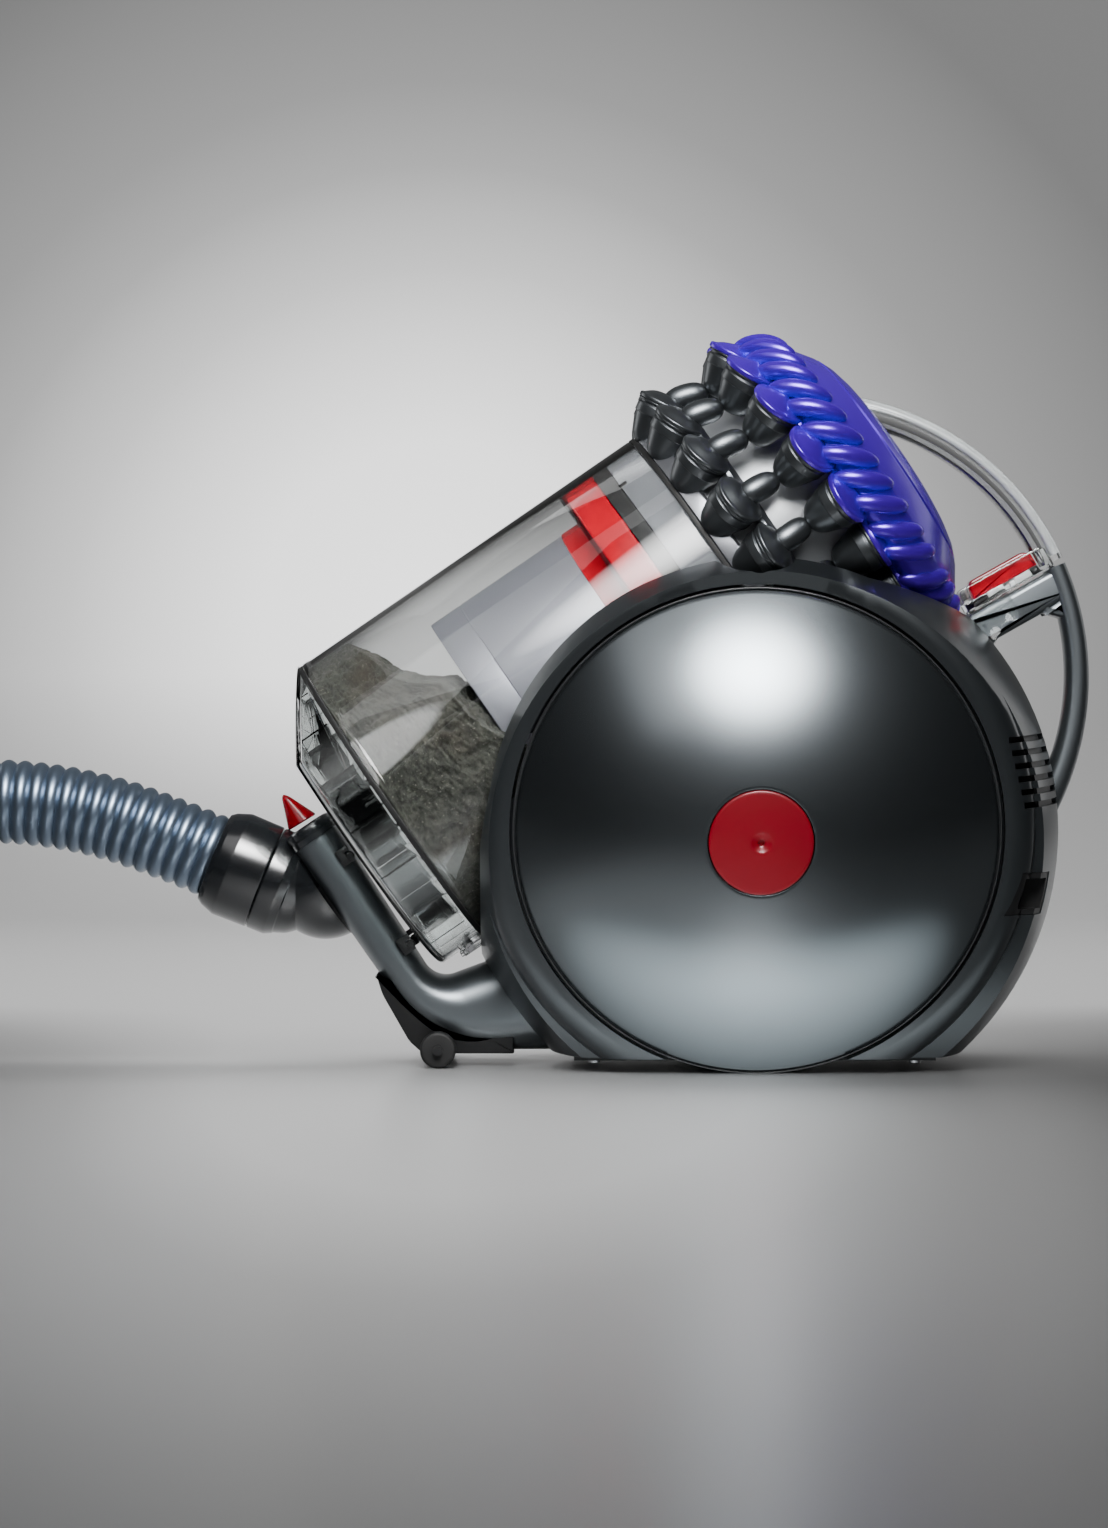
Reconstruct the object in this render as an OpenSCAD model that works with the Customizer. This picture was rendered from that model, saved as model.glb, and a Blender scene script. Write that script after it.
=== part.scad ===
// Cylinder vacuum cleaner with a ball-shaped body between two domed wheels,
// a tilted clear bin with two tiers of small cyclones, and a corrugated hose.
// Millimetres. +X is the rear, -X is the hose end, +Z is up.

/* [Wheels] */
// Radius of each road wheel at its rim
wheel_r = 120; // [119:0.5:121]
// Height of the wheel dome over its rim
dome_h = 47; // [42:1:50]
// Distance from the middle plane to the wheel rim's centre
wheel_plane = 86; // [85:0.5:88]
// Lean of each wheel, the top further out than the bottom, in degrees
camber = 5.5; // [5:0.25:6]
// Radius of the round cap in the middle of each wheel
cap_r = 25.4; // [22:0.2:27]

/* [Casing] */
// Radius of the casing's crown in the middle plane
crown_r = 152.8; // [150:0.1:154]
// Wall of the casing
wall = 2.5; // [2:0.1:2.8]
// Height of the flat underside
floor_gap = 7; // [6:0.5:9]

/* [Bin] */
// Tilt of the bin's long axis above the floor, in degrees
bin_tilt = 34.5; // [34:0.25:35]
// Outer radius of the clear bin
bin_r = 82; // [80:0.2:82.2]
// Wall of the clear bin
bin_wall = 2.4; // [1.8:0.1:3]
// Length of the clear bin
bin_len = 203; // [200:1:204]
// Radius of the inner silver cylinder
shroud_r = 62; // [58:0.5:64]

/* [Cyclones] */
// Distance between the two tiers of cyclones
tier_step = 43; // [42:0.5:44]
// Radius of each cyclone at its lid
cone_r = 13.2; // [12:0.1:13.4]
// Length of each cyclone's cone
cone_len = 22; // [20:0.5:23]

/* [Hose] */
// Outer diameter of the hose
hose_d = 43; // [42:0.5:43]
// Radius of the hose cuff
cuff_r = 27; // [26:0.25:27.5]

/* [Handle] */
// Outer radius of the handle's arc
arc_r = 144.5; // [143:0.5:145]
// Thickness of the clear arc
arc_t = 14; // [12:0.5:15]

/* [Hidden] */
$fn = 96;

// The wheels' centre, over which the ball is turned
axle_x = 53.5;
axle_z = wheel_r * cos(camber);
// The ball's own centre, a little behind and below them
ball_x = axle_x + 3;
ball_z = axle_z - 1;
dome_sphere = (wheel_r * wheel_r + dome_h * dome_h) / (2 * dome_h);
well_depth = 8;
well_r = wheel_r + 1.5;
hub_seat = 41;
axle_r = 8;
running = 0.05;

// The casing is a barrel: an arc of crown_arc turned about the wheels' line
crown_arc = 207.1;
trough_y = 82.6;
bed_r = 86.2;
pack_r = 93;
pack_len = 101;
front_cut = -82.5;
lip_round = 13;
lip_top = 1.5;
lip_mid = 124.5;

// The bin's foot, where its axis leaves the base door
bin_x = -129;
bin_z = 132.9;
door_depth = 26;

// The two tiers: the angle, ring radius and outward lean of each cyclone on one side
cone_turns = [14, 34, 54, 74, 93, 114, 138, 162];
cone_rings = [83, 83, 83, 83, 80, 73, 71, 69];
cone_leans = [30, 30, 30, 30, 22, 8, 4, 0];
lower_s = 217.5;
upper_s = lower_s + tier_step;

// The front duct: its section along the bin's axis and its bends
duct_s0 = -54.4;
duct_s1 = -30;
duct_half = 30;
foot_half = 46;

// The hose cuff: the point where it parts from the elbow, and its rise
cuff_x = -192.4;
cuff_z = 93.8;
cuff_rise = 22;
elbow_ball = [-162, 0, 90];
elbow_ball_r = 27.5;

// The handle's arc is turned about this point
arc_x = 81.2;
arc_z = 196.3;
arc_w = 24;
// The strut under the carrying bar: its start and its slope
strut_x = 170;
strut_z = 230;
strut_slope = 29.4;

// The hose's middle line, from the cuff to the wand handle
hose_route = [[-204, 0, 98.5], [-217, 0, 103.7], [-240, 0, 113], [-270, 0, 123.5], [-300, 0, 130],
  [-330, 0, 132.5], [-360, 0, 130], [-392, 1, 122], [-424, 3, 108], [-456, 6, 89], [-488, 9, 67],
  [-522, 12, 45], [-560, 15, 29], [-592, 18, 22], [-622, 20, 21.6], [-703.1, 36.1, 21.6],
  [-771.9, 82.1, 21.6], [-817.9, 150.9, 21.6], [-834, 232, 21.6], [-817.9, 313.1, 21.6],
  [-771.9, 381.9, 21.6], [-703.1, 427.9, 21.6], [-622, 444, 21.6], [-540.9, 427.9, 21.6],
  [-472.1, 381.9, 22], [-426.1, 313.1, 23.5], [-412, 262, 25], [-410, 242, 25],
  [-410, 232, 25]];
hose_sides = 12;
wand_x = -410;
wand_y = 232;
wand_z = 25;

// ---------- frames and outlines ----------
module at_wheel(side) {
  translate([axle_x, side * wheel_plane, axle_z]) rotate([-side * (90 + camber), 0, 0]) children();
}

module at_ball() {
  translate([ball_x, 0, ball_z]) rotate([90, 0, 0]) children();
}

module at_bin() {
  translate([bin_x, 0, bin_z]) rotate([0, 90 - bin_tilt, 0]) children();
}

module at_cuff() {
  translate([cuff_x, 0, cuff_z]) rotate([0, -90 + cuff_rise, 0]) children();
}

module at_arc() {
  translate([arc_x, 0, arc_z]) rotate([90, 0, 0]) children();
}

module at_strut() {
  translate([strut_x, 0, strut_z]) rotate([0, -strut_slope, 0]) children();
}

module at_wand() {
  translate([wand_x, wand_y, wand_z]) rotate([90, 0, 0]) children();
}

module tube(r_out, r_in, h) {
  difference() {
    cylinder(r = r_out, h = h);
    translate([0, 0, -1]) cylinder(r = r_in, h = h + 2);
  }
}

module barrel(d = 0) {
  at_ball() rotate_extrude($fn = 180) intersection() {
    translate([crown_r - crown_arc, 0]) circle(crown_arc - d, $fn = 240);
    translate([0, -98]) square([200, 196]);
  }
}

function arc_points(c, r, a0, a1, n) =
  [for (i = [0:n]) c + r * [cos(a0 + (a1 - a0) * i / n), sin(a0 + (a1 - a0) * i / n)]];

// ---------- casing ----------
module trough(d) {
  intersection() {
    at_bin() union() {
      translate([0, 0, -40]) cylinder(r = bed_r + d, h = 260);
      translate([0, 0, bin_len + 2 - d]) cylinder(r = pack_r + d, h = pack_len + 2 * d);
      translate([-170, -100, -40]) cube([170, 200, 352]);
    }
    translate([-300, -trough_y - d, 0]) cube([700, 2 * (trough_y + d), 500]);
  }
}

module cone_notch(d) {
  for (side = [-1, 1]) at_bin()
    translate([-cone_rings[4] * cos(cone_turns[4]), side * 82, lower_s + 2]) {
      sphere(r = 18 + d);
      rotate([0, -90, 0]) cylinder(r = 18 + d, h = 90);
    }
}

// All that lies inboard of one wheel arch's rounded lip
module lip_bound(side, d) {
  at_wheel(side) rotate_extrude($fn = 180) polygon(concat(
    [[0, -330], [0, lip_top - d]],
    arc_points([lip_mid, lip_top - lip_round], lip_round - d, 90, 8, 10),
    [[420, lip_top - lip_round - 50], [420, -330]]));
}

module casing_block(d) {
  difference() {
    intersection() {
      barrel(d);
      translate([front_cut + d, -110, floor_gap + d]) cube([320, 220, 320]);
      lip_bound(-1, d);
      lip_bound(1, d);
    }
    for (side = [-1, 1]) at_wheel(side)
      translate([0, 0, -well_depth - d]) cylinder(r = well_r + d, h = 40);
    trough(d);
    cone_notch(d);
  }
}

module louvre_slots() {
  for (side = [-1, 1], i = [0:5])
    translate([184.5 - 1.6 * i, side > 0 ? 14 : -95, 130.5 + 6.4 * i]) rotate([0, -5, 0])
      cube([40, 81, 3]);
}

module outlet_window(d) {
  translate([174.2, -83 + d, 78 + d]) cube([40, 25 - 2 * d, 21 - 2 * d]);
}

module button_wells() {
  for (y = [38, 66]) translate([ball_x, y, ball_z]) rotate([0, 64, 0])
    translate([0, 0, 110]) cylinder(r = 11.4, h = 50);
}

module casing_half(side) {
  color([0.16, 0.17, 0.19]) difference() {
    intersection() {
      casing_block(0);
      translate([-200, side > 0 ? 0 : -120, 0]) cube([500, 120, 400]);
    }
    casing_block(wall);
    louvre_slots();
    if (side > 0) button_wells();
    if (side < 0) outlet_window(0);
  }
}

module casing_near() { casing_half(-1); }

module casing_far() { casing_half(1); }

module bin_cradle() {
  color([0.1, 0.1, 0.11]) intersection() {
    at_bin() difference() {
      translate([0, 0, 12]) cylinder(r = bed_r - 0.3, h = 188);
      translate([0, 0, 11]) cylinder(r = bin_r + 1.2, h = 190);
    }
    at_bin() translate([30, -60, 10]) cube([60, 120, 192]);
    translate([-78, -60, 8]) cube([200, 120, 300]);
  }
}

module underplate() {
  color([0.08, 0.08, 0.09]) difference() {
    translate([-36, -50, floor_gap - 2.5]) cube([180, 100, 2.5]);
    for (x = [-26, 134], y = [-42, 42]) translate([x, y, 0]) cylinder(r = 1.6, h = 20);
  }
}

module louvre_screen() {
  color([0.03, 0.03, 0.035]) for (side = [-1, 1]) intersection() {
    difference() {
      barrel(wall + 0.1);
      barrel(wall + 1.6);
      button_wells();
    }
    translate([150, side > 0 ? 12 : -72, 128]) cube([80, 60, 42]);
  }
}

module cable_outlet() {
  color([0.05, 0.05, 0.055]) difference() {
    intersection() {
      outlet_window(0.2);
      barrel(0.5);
      lip_bound(-1, 0.5);
    }
    barrel(10);
    translate([182, -79.6, 81]) cube([40, 18.2, 15]);
    translate([150, -70.5, 88.5]) rotate([0, 90, 0]) cylinder(r = 5, h = 40);
  }
}

module axle(side) {
  color([0.7, 0.7, 0.72]) at_wheel(side) {
    translate([0, 0, -well_depth]) cylinder(r = axle_r, h = 42);
    translate([0, 0, -well_depth]) cylinder(r = 18, h = 1.4);
  }
}

module axle_near() { axle(-1); }

module axle_far() { axle(1); }

// ---------- duct and front ----------
module duct_outline(inset) {
  tube_top = -8;
  u = [sin(bin_tilt), -cos(bin_tilt)];
  v = [cos(bin_tilt), sin(bin_tilt)];
  foot = [bin_x, bin_z];
  outer = foot + (duct_s0 + inset) * v;
  inner = foot + (duct_s1 - inset) * v;
  polygon(concat(
    [outer + tube_top * u],
    arc_points([-73, 73], 66 - inset, 180 + bin_tilt, 270, 12),
    [[-20, floor_gap + inset]], [[-20, 60 - inset]], [[-70, 60 - inset]],
    arc_points([-101, 57], 12.5 + inset, 290, 180 + bin_tilt, 6),
    [inner + tube_top * u]));
}

module duct_slab(half, inset) {
  rotate([90, 0, 0]) translate([0, 0, -half]) linear_extrude(2 * half) duct_outline(inset);
}

module inlet_duct() {
  color([0.3, 0.32, 0.35]) difference() {
    duct_slab(duct_half, 0);
    difference() {
      duct_slab(duct_half - 2.5, 2.5);
      at_bin() translate([-40, -50, -60]) cube([34, 100, 40]);
    }
    barrel(-0.02);
    at_bin() translate([16.7, 0, duct_s0 - 3]) cylinder(r = 17, h = 8);
    at_bin() translate([-90, -100, -door_depth - 1.2]) cube([185, 200, 60]);
  }
}

module duct_collar() {
  color([0.12, 0.12, 0.13]) at_bin() translate([-14.2, -31.5, duct_s0 - 1]) cube([6.1, 63, 27]);
}

module duct_clips() {
  color([0.05, 0.05, 0.05]) for (side = [-1, 1], r = [10, 64]) at_bin()
    translate([r - 4.5, side > 0 ? duct_half + 0.01 : -duct_half - 3.01, duct_s1 - 8])
      cube([9, 3, 7]);
}

module chin_plate() {
  color([0.07, 0.07, 0.08]) difference() {
    rotate([90, 0, 0]) translate([0, 0, -26]) linear_extrude(52)
      polygon([[-133, 43], [-119, 13], [-112, 6], [-62, 6], [-62, 30], [-100, 40]]);
    rotate([90, 0, 0]) translate([0, 0, -60]) linear_extrude(120) duct_outline(0);
    translate([-104, 40, 9]) rotate([90, 0, 0]) cylinder(r = 2.5 + running, h = 80);
    translate([-52, -60, -1]) cube([60, 120, 80]);
  }
}

module front_rollers() {
  color([0.05, 0.05, 0.05]) for (side = [-1, 1])
    translate([-104, side * 38.4 + 6, 9]) rotate([90, 0, 0]) tube(9, 2.5, 12);
}

module roller_shaft() {
  color([0.7, 0.7, 0.72]) translate([-104, 47, 9]) rotate([90, 0, 0]) cylinder(r = 2.5, h = 94);
}

module duct_latch() {
  color([0.8, 0.03, 0.08]) difference() {
    rotate([90, 0, 0]) translate([0, 0, -9]) linear_extrude(18)
      polygon([[-180.4, 116.6], [-181.8, 119], [-184.8, 134], [-182, 136.2], [-170, 127],
        [-168, 124.9]]);
    translate([-178.5, 20, 119.4]) rotate([90, 0, 0]) cylinder(r = 1.2, h = 40);
  }
}

module hose_elbow() {
  color([0.14, 0.15, 0.17]) difference() {
    union() {
      translate(elbow_ball) sphere(r = elbow_ball_r);
      at_cuff() translate([0, 0, -27]) cylinder(r = 23, h = 27);
      at_cuff() translate([0, 0, -14]) rotate_extrude()
        polygon([[0, 0], [22, 0], [25.4, 3.4], [cuff_r, 9], [cuff_r, 13.8], [0, 13.8]]);
    }
    at_cuff() translate([0, 0, -30]) cylinder(r = 17, h = 40);
    translate(elbow_ball) sphere(r = 22);
    at_bin() translate([-100, -100, duct_s0 - 0.02]) cube([200, 200, 60]);
  }
}

module hose_cuff() {
  bore = hose_d / 2 + 0.1;
  color([0.13, 0.14, 0.16]) at_cuff() translate([0, 0, 0.4]) rotate_extrude()
    polygon([[bore, 0], [cuff_r, 0], [cuff_r + 0.2, 19], [24.6, 26], [22.6, 28.6],
      [bore, 28.6]]);
}

// ---------- handle on the machine ----------
module stadium(w, t) {
  square([t, w - t], center = true);
  for (side = [-1, 1]) translate([0, side * (w - t) / 2]) circle(t / 2);
}

module rear_handle() {
  color([0.2, 0.21, 0.23]) difference() {
    union() {
      at_arc() rotate([0, 0, -30]) rotate_extrude(angle = 53)
        translate([arc_r - 6, 0]) stadium(arc_w, 12);
      at_strut() translate([-16, -arc_w / 2 + 1, -17]) cube([62, arc_w - 2, 16.8]);
    }
    barrel(-0.02);
    trough(0.3);
    at_strut() translate([-60, -40, -0.2]) cube([120, 80, 60]);
  }
}

// ---------- inside the casing ----------
module motor_bucket() {
  color([0.1, 0.1, 0.1]) translate([45, 50, 62]) rotate([90, 0, 0]) difference() {
    cylinder(r = 44, h = 100);
    translate([0, 0, 2.5]) cylinder(r = 41.5, h = 95);
    translate([0, 0, -1]) cylinder(r = 14, h = 110);
  }
}

module motor_mounts() {
  color([0.05, 0.05, 0.05]) for (y = [-40, 46])
    translate([45, y, 62]) rotate([90, 0, 0]) tube(41.3, 34.2, 6);
}

module motor() {
  color([0.55, 0.55, 0.58]) translate([45, 44, 62]) rotate([90, 0, 0]) difference() {
    cylinder(r = 34, h = 66);
    translate([0, 0, 40]) cylinder(r = 31.5, h = 30);
    translate([0, 0, -1]) cylinder(r = 4 + running, h = 90);
  }
}

module impeller() {
  color([0.75, 0.75, 0.78]) translate([45, -18, 62]) rotate([90, 0, 0]) {
    translate([0, 0, -40]) cylinder(r = 4, h = 68);
    difference() {
      translate([0, 0, 6]) cylinder(r = 30, h = 2);
      translate([0, 0, 0]) cylinder(r = 3, h = 20);
    }
    for (i = [0:8]) rotate([0, 0, 40 * i]) translate([8, -0.8, 8]) cube([20, 1.6, 10]);
  }
}

module exhaust_filter() {
  color([0.9, 0.9, 0.86]) translate([150, 46, 142]) rotate([90, 0, 0]) difference() {
    cylinder(r = 21, h = 92);
    translate([0, 0, -1]) cylinder(r = 12, h = 94);
  }
}

module cable_reel() {
  color([0.12, 0.12, 0.13]) translate([140, 22, 58]) rotate([90, 0, 0]) difference() {
    union() {
      cylinder(r = 39, h = 2);
      translate([0, 0, 42]) cylinder(r = 39, h = 2);
      cylinder(r = 16, h = 44);
    }
    translate([0, 0, -1]) cylinder(r = 6 + running, h = 50);
  }
}

module reel_bracket() {
  color([0.5, 0.5, 0.52]) translate([140, 26, 58]) rotate([90, 0, 0]) {
    cylinder(r = 6, h = 52);
    translate([-10, -48, 0]) cube([20, 58, 3]);
    translate([-10, -48, 49]) cube([20, 58, 3]);
  }
}

module case_screws() {
  color([0.6, 0.6, 0.62]) for (x = [-26, 134], y = [-42, 42]) translate([x, y, 0]) {
    translate([0, 0, floor_gap - 2.5]) cylinder(r = 1.58, h = 2.5);
    translate([0, 0, floor_gap - 4]) cylinder(r = 3.2, h = 1.5);
  }
}

module button(y) {
  translate([ball_x, y, ball_z]) rotate([0, 64, 0]) translate([0, 0, crown_top(y) - 9])
    cylinder(r = 11, h = 12);
}

function crown_top(y) = crown_r - crown_arc + sqrt(crown_arc * crown_arc - y * y);

module power_button() { color([0.8, 0.03, 0.08]) button(38); }

module rewind_button() { color([0.35, 0.36, 0.38]) button(66); }

// ---------- hose and wand ----------
function unit(a) = a / norm(a);

// Each ring stands square to the line between its neighbours
module swept_tube(path, r, sides) {
  n = len(path);
  pts = [for (i = [0:n - 1])
    let (t = unit(path[min(i + 1, n - 1)] - path[max(i - 1, 0)]),
      s = unit(cross(t, [0, 0, 1])), w = cross(s, t))
    for (k = [0:sides - 1])
      path[i] + r * (cos(360 * k / sides) * s + sin(360 * k / sides) * w)];
  sides_faces = [for (i = [0:n - 2], k = [0:sides - 1])
    let (a = i * sides + k, b = i * sides + (k + 1) % sides)
    [a, b, b + sides, a + sides]];
  polyhedron(pts, concat(sides_faces,
    [[for (k = [sides - 1:-1:0]) k]], [[for (k = [0:sides - 1]) (n - 1) * sides + k]]));
}

module hose() {
  color([0.42, 0.48, 0.56]) swept_tube(hose_route, hose_d / 2, hose_sides);
}

module wand_cuff() {
  color([0.13, 0.14, 0.16]) at_wand() rotate_extrude()
    polygon([[0, 0.1], [22, 0.1], [24, 5], [24, 38], [21, 44], [0, 44]]);
}

module wand_handle() {
  color([0.2, 0.21, 0.23]) at_wand() difference() {
    union() {
      translate([0, 0, 44.1]) cylinder(r = 19, h = 126);
      translate([-62, -9, 60]) cube([14, 18, 88]);
      translate([-62, -9, 60]) cube([60, 18, 13]);
      translate([-62, -9, 135]) cube([60, 18, 13]);
    }
    translate([0, 0, 130]) cylinder(r = 16, h = 60);
    translate([0, 0, 50]) cylinder(r = 14, h = 90);
  }
}

// ---------- wheels ----------
module wheel_dome(side) {
  color([0.3, 0.32, 0.35]) at_wheel(side) difference() {
    intersection() {
      translate([0, 0, dome_h - dome_sphere]) sphere(dome_sphere, $fn = 180);
      translate([0, 0, 0.02]) cylinder(r = wheel_r, h = 60, $fn = 180);
    }
    intersection() {
      translate([0, 0, dome_h - dome_sphere]) sphere(dome_sphere - 2.6, $fn = 180);
      translate([0, 0, -1]) cylinder(r = wheel_r - 2.6, h = 60, $fn = 180);
    }
    cylinder(r = cap_r + 0.3, h = 60);
  }
}

module wheel_tyre(side) {
  color([0.06, 0.06, 0.065]) at_wheel(side) translate([0, 0, -6])
    difference() {
      cylinder(r = wheel_r, h = 6, $fn = 180);
      translate([0, 0, -1]) cylinder(r = wheel_r - 8, h = 8, $fn = 180);
    }
}

module wheel_hub(side) {
  color([0.2, 0.2, 0.22]) at_wheel(side) difference() {
    union() {
      translate([0, 0, -5.5]) cylinder(r = wheel_r - 8, h = 2.5);
      translate([0, 0, -6]) cylinder(r = 14, h = hub_seat);
      translate([0, 0, hub_seat - 3.5]) cylinder(r = 23, h = 3);
      for (i = [0:5]) rotate([0, 0, 60 * i]) translate([12, -1.2, -4]) cube([66, 2.4, 24]);
    }
    translate([0, 0, -8]) cylinder(r = axle_r + running, h = 44);
  }
}

module hub_cap(side) {
  color([0.8, 0.03, 0.1]) at_wheel(side) difference() {
    intersection() {
      translate([0, 0, dome_h + 0.6 - dome_sphere]) sphere(dome_sphere, $fn = 180);
      translate([0, 0, hub_seat - 0.4]) cylinder(r = cap_r, h = 20);
    }
    translate([0, 0, dome_h - 2.4]) cylinder(r = 3.4, h = 10);
  }
}

module near_wheel_dome() { wheel_dome(-1); }

module near_wheel_tyre() { wheel_tyre(-1); }

module near_wheel_hub() { wheel_hub(-1); }

module near_hub_cap() { hub_cap(-1); }

module far_wheel_dome() { wheel_dome(1); }

module far_wheel_tyre() { wheel_tyre(1); }

module far_wheel_hub() { wheel_hub(1); }

module far_hub_cap() { hub_cap(1); }

// ---------- bin ----------
module bin_tube() {
  color([0.85, 0.9, 0.92, 0.4]) at_bin() translate([0, 0, 2.2])
    tube(bin_r, bin_r - bin_wall, bin_len - 2.2);
}

module base_door() {
  color([0.85, 0.9, 0.92, 0.5]) at_bin() difference() {
    union() {
      intersection() {
        translate([0, 0, -door_depth]) cylinder(r = bin_r + 1, h = door_depth);
        prow(0);
      }
      translate([bin_r - 6, -32, -18]) cube([11, 64, 13]);
    }
    intersection() {
      translate([0, 0, -door_depth + 2.6]) cylinder(r = bin_r - 1.6, h = door_depth);
      prow(2.6);
    }
    translate([bin_r + 1.5, 34, -8]) rotate([90, 0, 0]) cylinder(r = 2, h = 68);
    at_prow() translate([-5, -10.5, -20.6]) cube([14, 21, 15.2]);
  }
}

// The door's upper edge is cut back by a slope, like a prow
module at_prow() {
  translate([-bin_r - 0.6, 0, 0]) rotate([0, -58.4, 0]) children();
}

module prow(d) {
  at_prow() translate([d, -120, -200]) cube([400, 240, 400]);
}

module bin_floor() {
  color([0.7, 0.75, 0.78, 0.6]) at_bin() cylinder(r = bin_r - bin_wall - 0.5, h = 2.2);
}

module base_seal() {
  color([0.05, 0.05, 0.05]) at_bin() tube(bin_r, bin_r - bin_wall - 0.4, 2.1);
}

module hinge_pin() {
  color([0.75, 0.75, 0.78]) at_bin() translate([bin_r + 1.5, 31, -8]) rotate([90, 0, 0])
    cylinder(r = 2, h = 62);
}

module base_catch() {
  color([0.08, 0.08, 0.09]) at_bin() at_prow() translate([0, -10, -20]) cube([2.6, 20, 14]);
}

module shroud() {
  color([0.72, 0.73, 0.78]) at_bin() {
    translate([0, 0, 67]) tube(shroud_r, shroud_r - 1.6, 76);
    translate([0, 0, 71]) cylinder(r = shroud_r - 1.6, h = 1.6);
  }
}

module red_collar() {
  color([0.8, 0.02, 0.08]) at_bin() {
    translate([0, 0, 143]) tube(shroud_r + 0.6, shroud_r - 3, 15);
    translate([0, 0, 158]) tube(bin_r - 3.2, shroud_r - 3, 18);
  }
}

module seal_band() {
  color([0.04, 0.04, 0.04]) at_bin() translate([0, 0, 176])
    tube(bin_r - bin_wall - 0.3, shroud_r - 3, 8.5);
}

module bin_head() {
  color([0.75, 0.76, 0.8]) at_bin() {
    translate([0, 0, 184.5]) tube(bin_r - 3, bin_r - 6, bin_len - 184.5);
    translate([0, 0, bin_len + 3]) tube(bin_r - 1, bin_r - 6, 10);
    translate([0, 0, bin_len - 0.01]) tube(bin_r - 3, bin_r - 6, 3.02);
  }
}

module seam_ring() {
  color([0.05, 0.05, 0.06]) at_bin() translate([0, 0, bin_len])
    tube(bin_r + 0.3, bin_r - 3, 3);
}

// ---------- cyclones ----------
module at_cone(side, i, s) {
  at_bin() rotate([0, 0, 180 + side * cone_turns[i]]) translate([cone_rings[i], 0, s])
    rotate([0, cone_leans[i], 0]) children();
}

module cone_tier(s) {
  for (side = [-1, 1], i = [0:7]) at_cone(side, i, s) translate([0, 0, -cone_len / 2])
    rotate_extrude($fn = 48) polygon(concat([[0, 0]],
      arc_points([cone_r - 7.5, 4.5], 4.5, -90, -12, 4),
      [[cone_r, cone_len], [0, cone_len]]));
}

module lid_tier(s) {
  for (side = [-1, 1], i = [0:7]) at_cone(side, i, s) translate([0, 0, cone_len / 2]) {
    cylinder(r = cone_r + 0.4, h = 2.4, $fn = 48);
    translate([-7, 0, 2]) sphere(r = 4.6, $fn = 32);
    translate([-7, 0, 2]) rotate([0, -cone_leans[i], 0]) cylinder(r = 4.6, h = 13, $fn = 32);
  }
}

module cyclone_core() {
  color([0.45, 0.47, 0.5]) at_bin() rotate_extrude()
    polygon([[0, bin_len + 4], [bin_r - 6.1, bin_len + 4], [bin_r - 6.1, bin_len + 13],
      [70, bin_len + 26], [70, upper_s - 12], [60, upper_s + 8], [60, 296], [0, 296]]);
}

module cyclones_lower() { color([0.15, 0.16, 0.17]) cone_tier(lower_s); }

module cyclones_upper() { color([0.15, 0.16, 0.17]) cone_tier(upper_s); }

module lids_lower() { color([0.2, 0.21, 0.22]) lid_tier(lower_s); }

module violet_cover() {
  color([0.2, 0.08, 0.85]) union() {
    lid_tier(upper_s);
    at_bin() rotate_extrude() polygon([[62.1, 274], [79, 274], [90.6, 267], [91.9, 269.4],
      [84.5, 276.5], [84, 288], [81, 292.5], [62, 305.5], [39.2, 310.8], [39.2, 308],
      [60, 302], [62.1, 297]]);
  }
}

module end_cap() {
  color([0.7, 0.72, 0.75]) at_bin() rotate_extrude()
    polygon([[0, 296.1], [38.8, 296.1], [38.8, 311], [30, 311.8], [0, 311.8]]);
}

// ---------- handle on the bin ----------
module carry_handle() {
  color([0.85, 0.88, 0.9, 0.5]) difference() {
    union() {
      at_arc() rotate([0, 0, 24]) rotate_extrude(angle = 60)
        translate([arc_r - arc_t / 2, 0]) stadium(arc_w, arc_t);
      at_strut() translate([-6, -arc_w / 2 + 1, 0.4]) cube([48, arc_w - 2, 13]);
      at_strut() translate([-6, -13.4, 1]) cube([22, 26.8, 6]);
      for (side = [-1, 1]) at_strut() rotate([90, 0, 0]) translate([0, 0, side * 12.4 - 1])
        linear_extrude(2) polygon([[-6, 5], [16, 5], [16, 1], [17, -10], [14.4, -13.9],
          [7.7, -12], [-2.9, -19], [-6, -12]]);
    }
    at_arc() rotate([0, 0, 24.6]) rotate_extrude(angle = 62)
      translate([arc_r - arc_t / 2, 0]) circle(4);
    at_strut() translate([0, -7, 1.2]) cube([37, 14, 20]);
    at_bin() cylinder(r = 78, h = 311.2);
    barrel(-0.6);
    at_strut() translate([20, -60, -60]) cube([400, 120, 60.4]);
    at_strut() translate([-60, -11.3, -60]) cube([400, 22.6, 60.4]);
  }
}

module handle_core() {
  color([0.3, 0.32, 0.34]) at_arc() rotate([0, 0, 30]) rotate_extrude(angle = 47)
    translate([arc_r - arc_t / 2, 0]) circle(3.95);
}

module release_button() {
  color([0.8, 0.02, 0.08]) at_strut() translate([1, -6.6, 4.4]) cube([35, 13.2, 10.6]);
}

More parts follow.
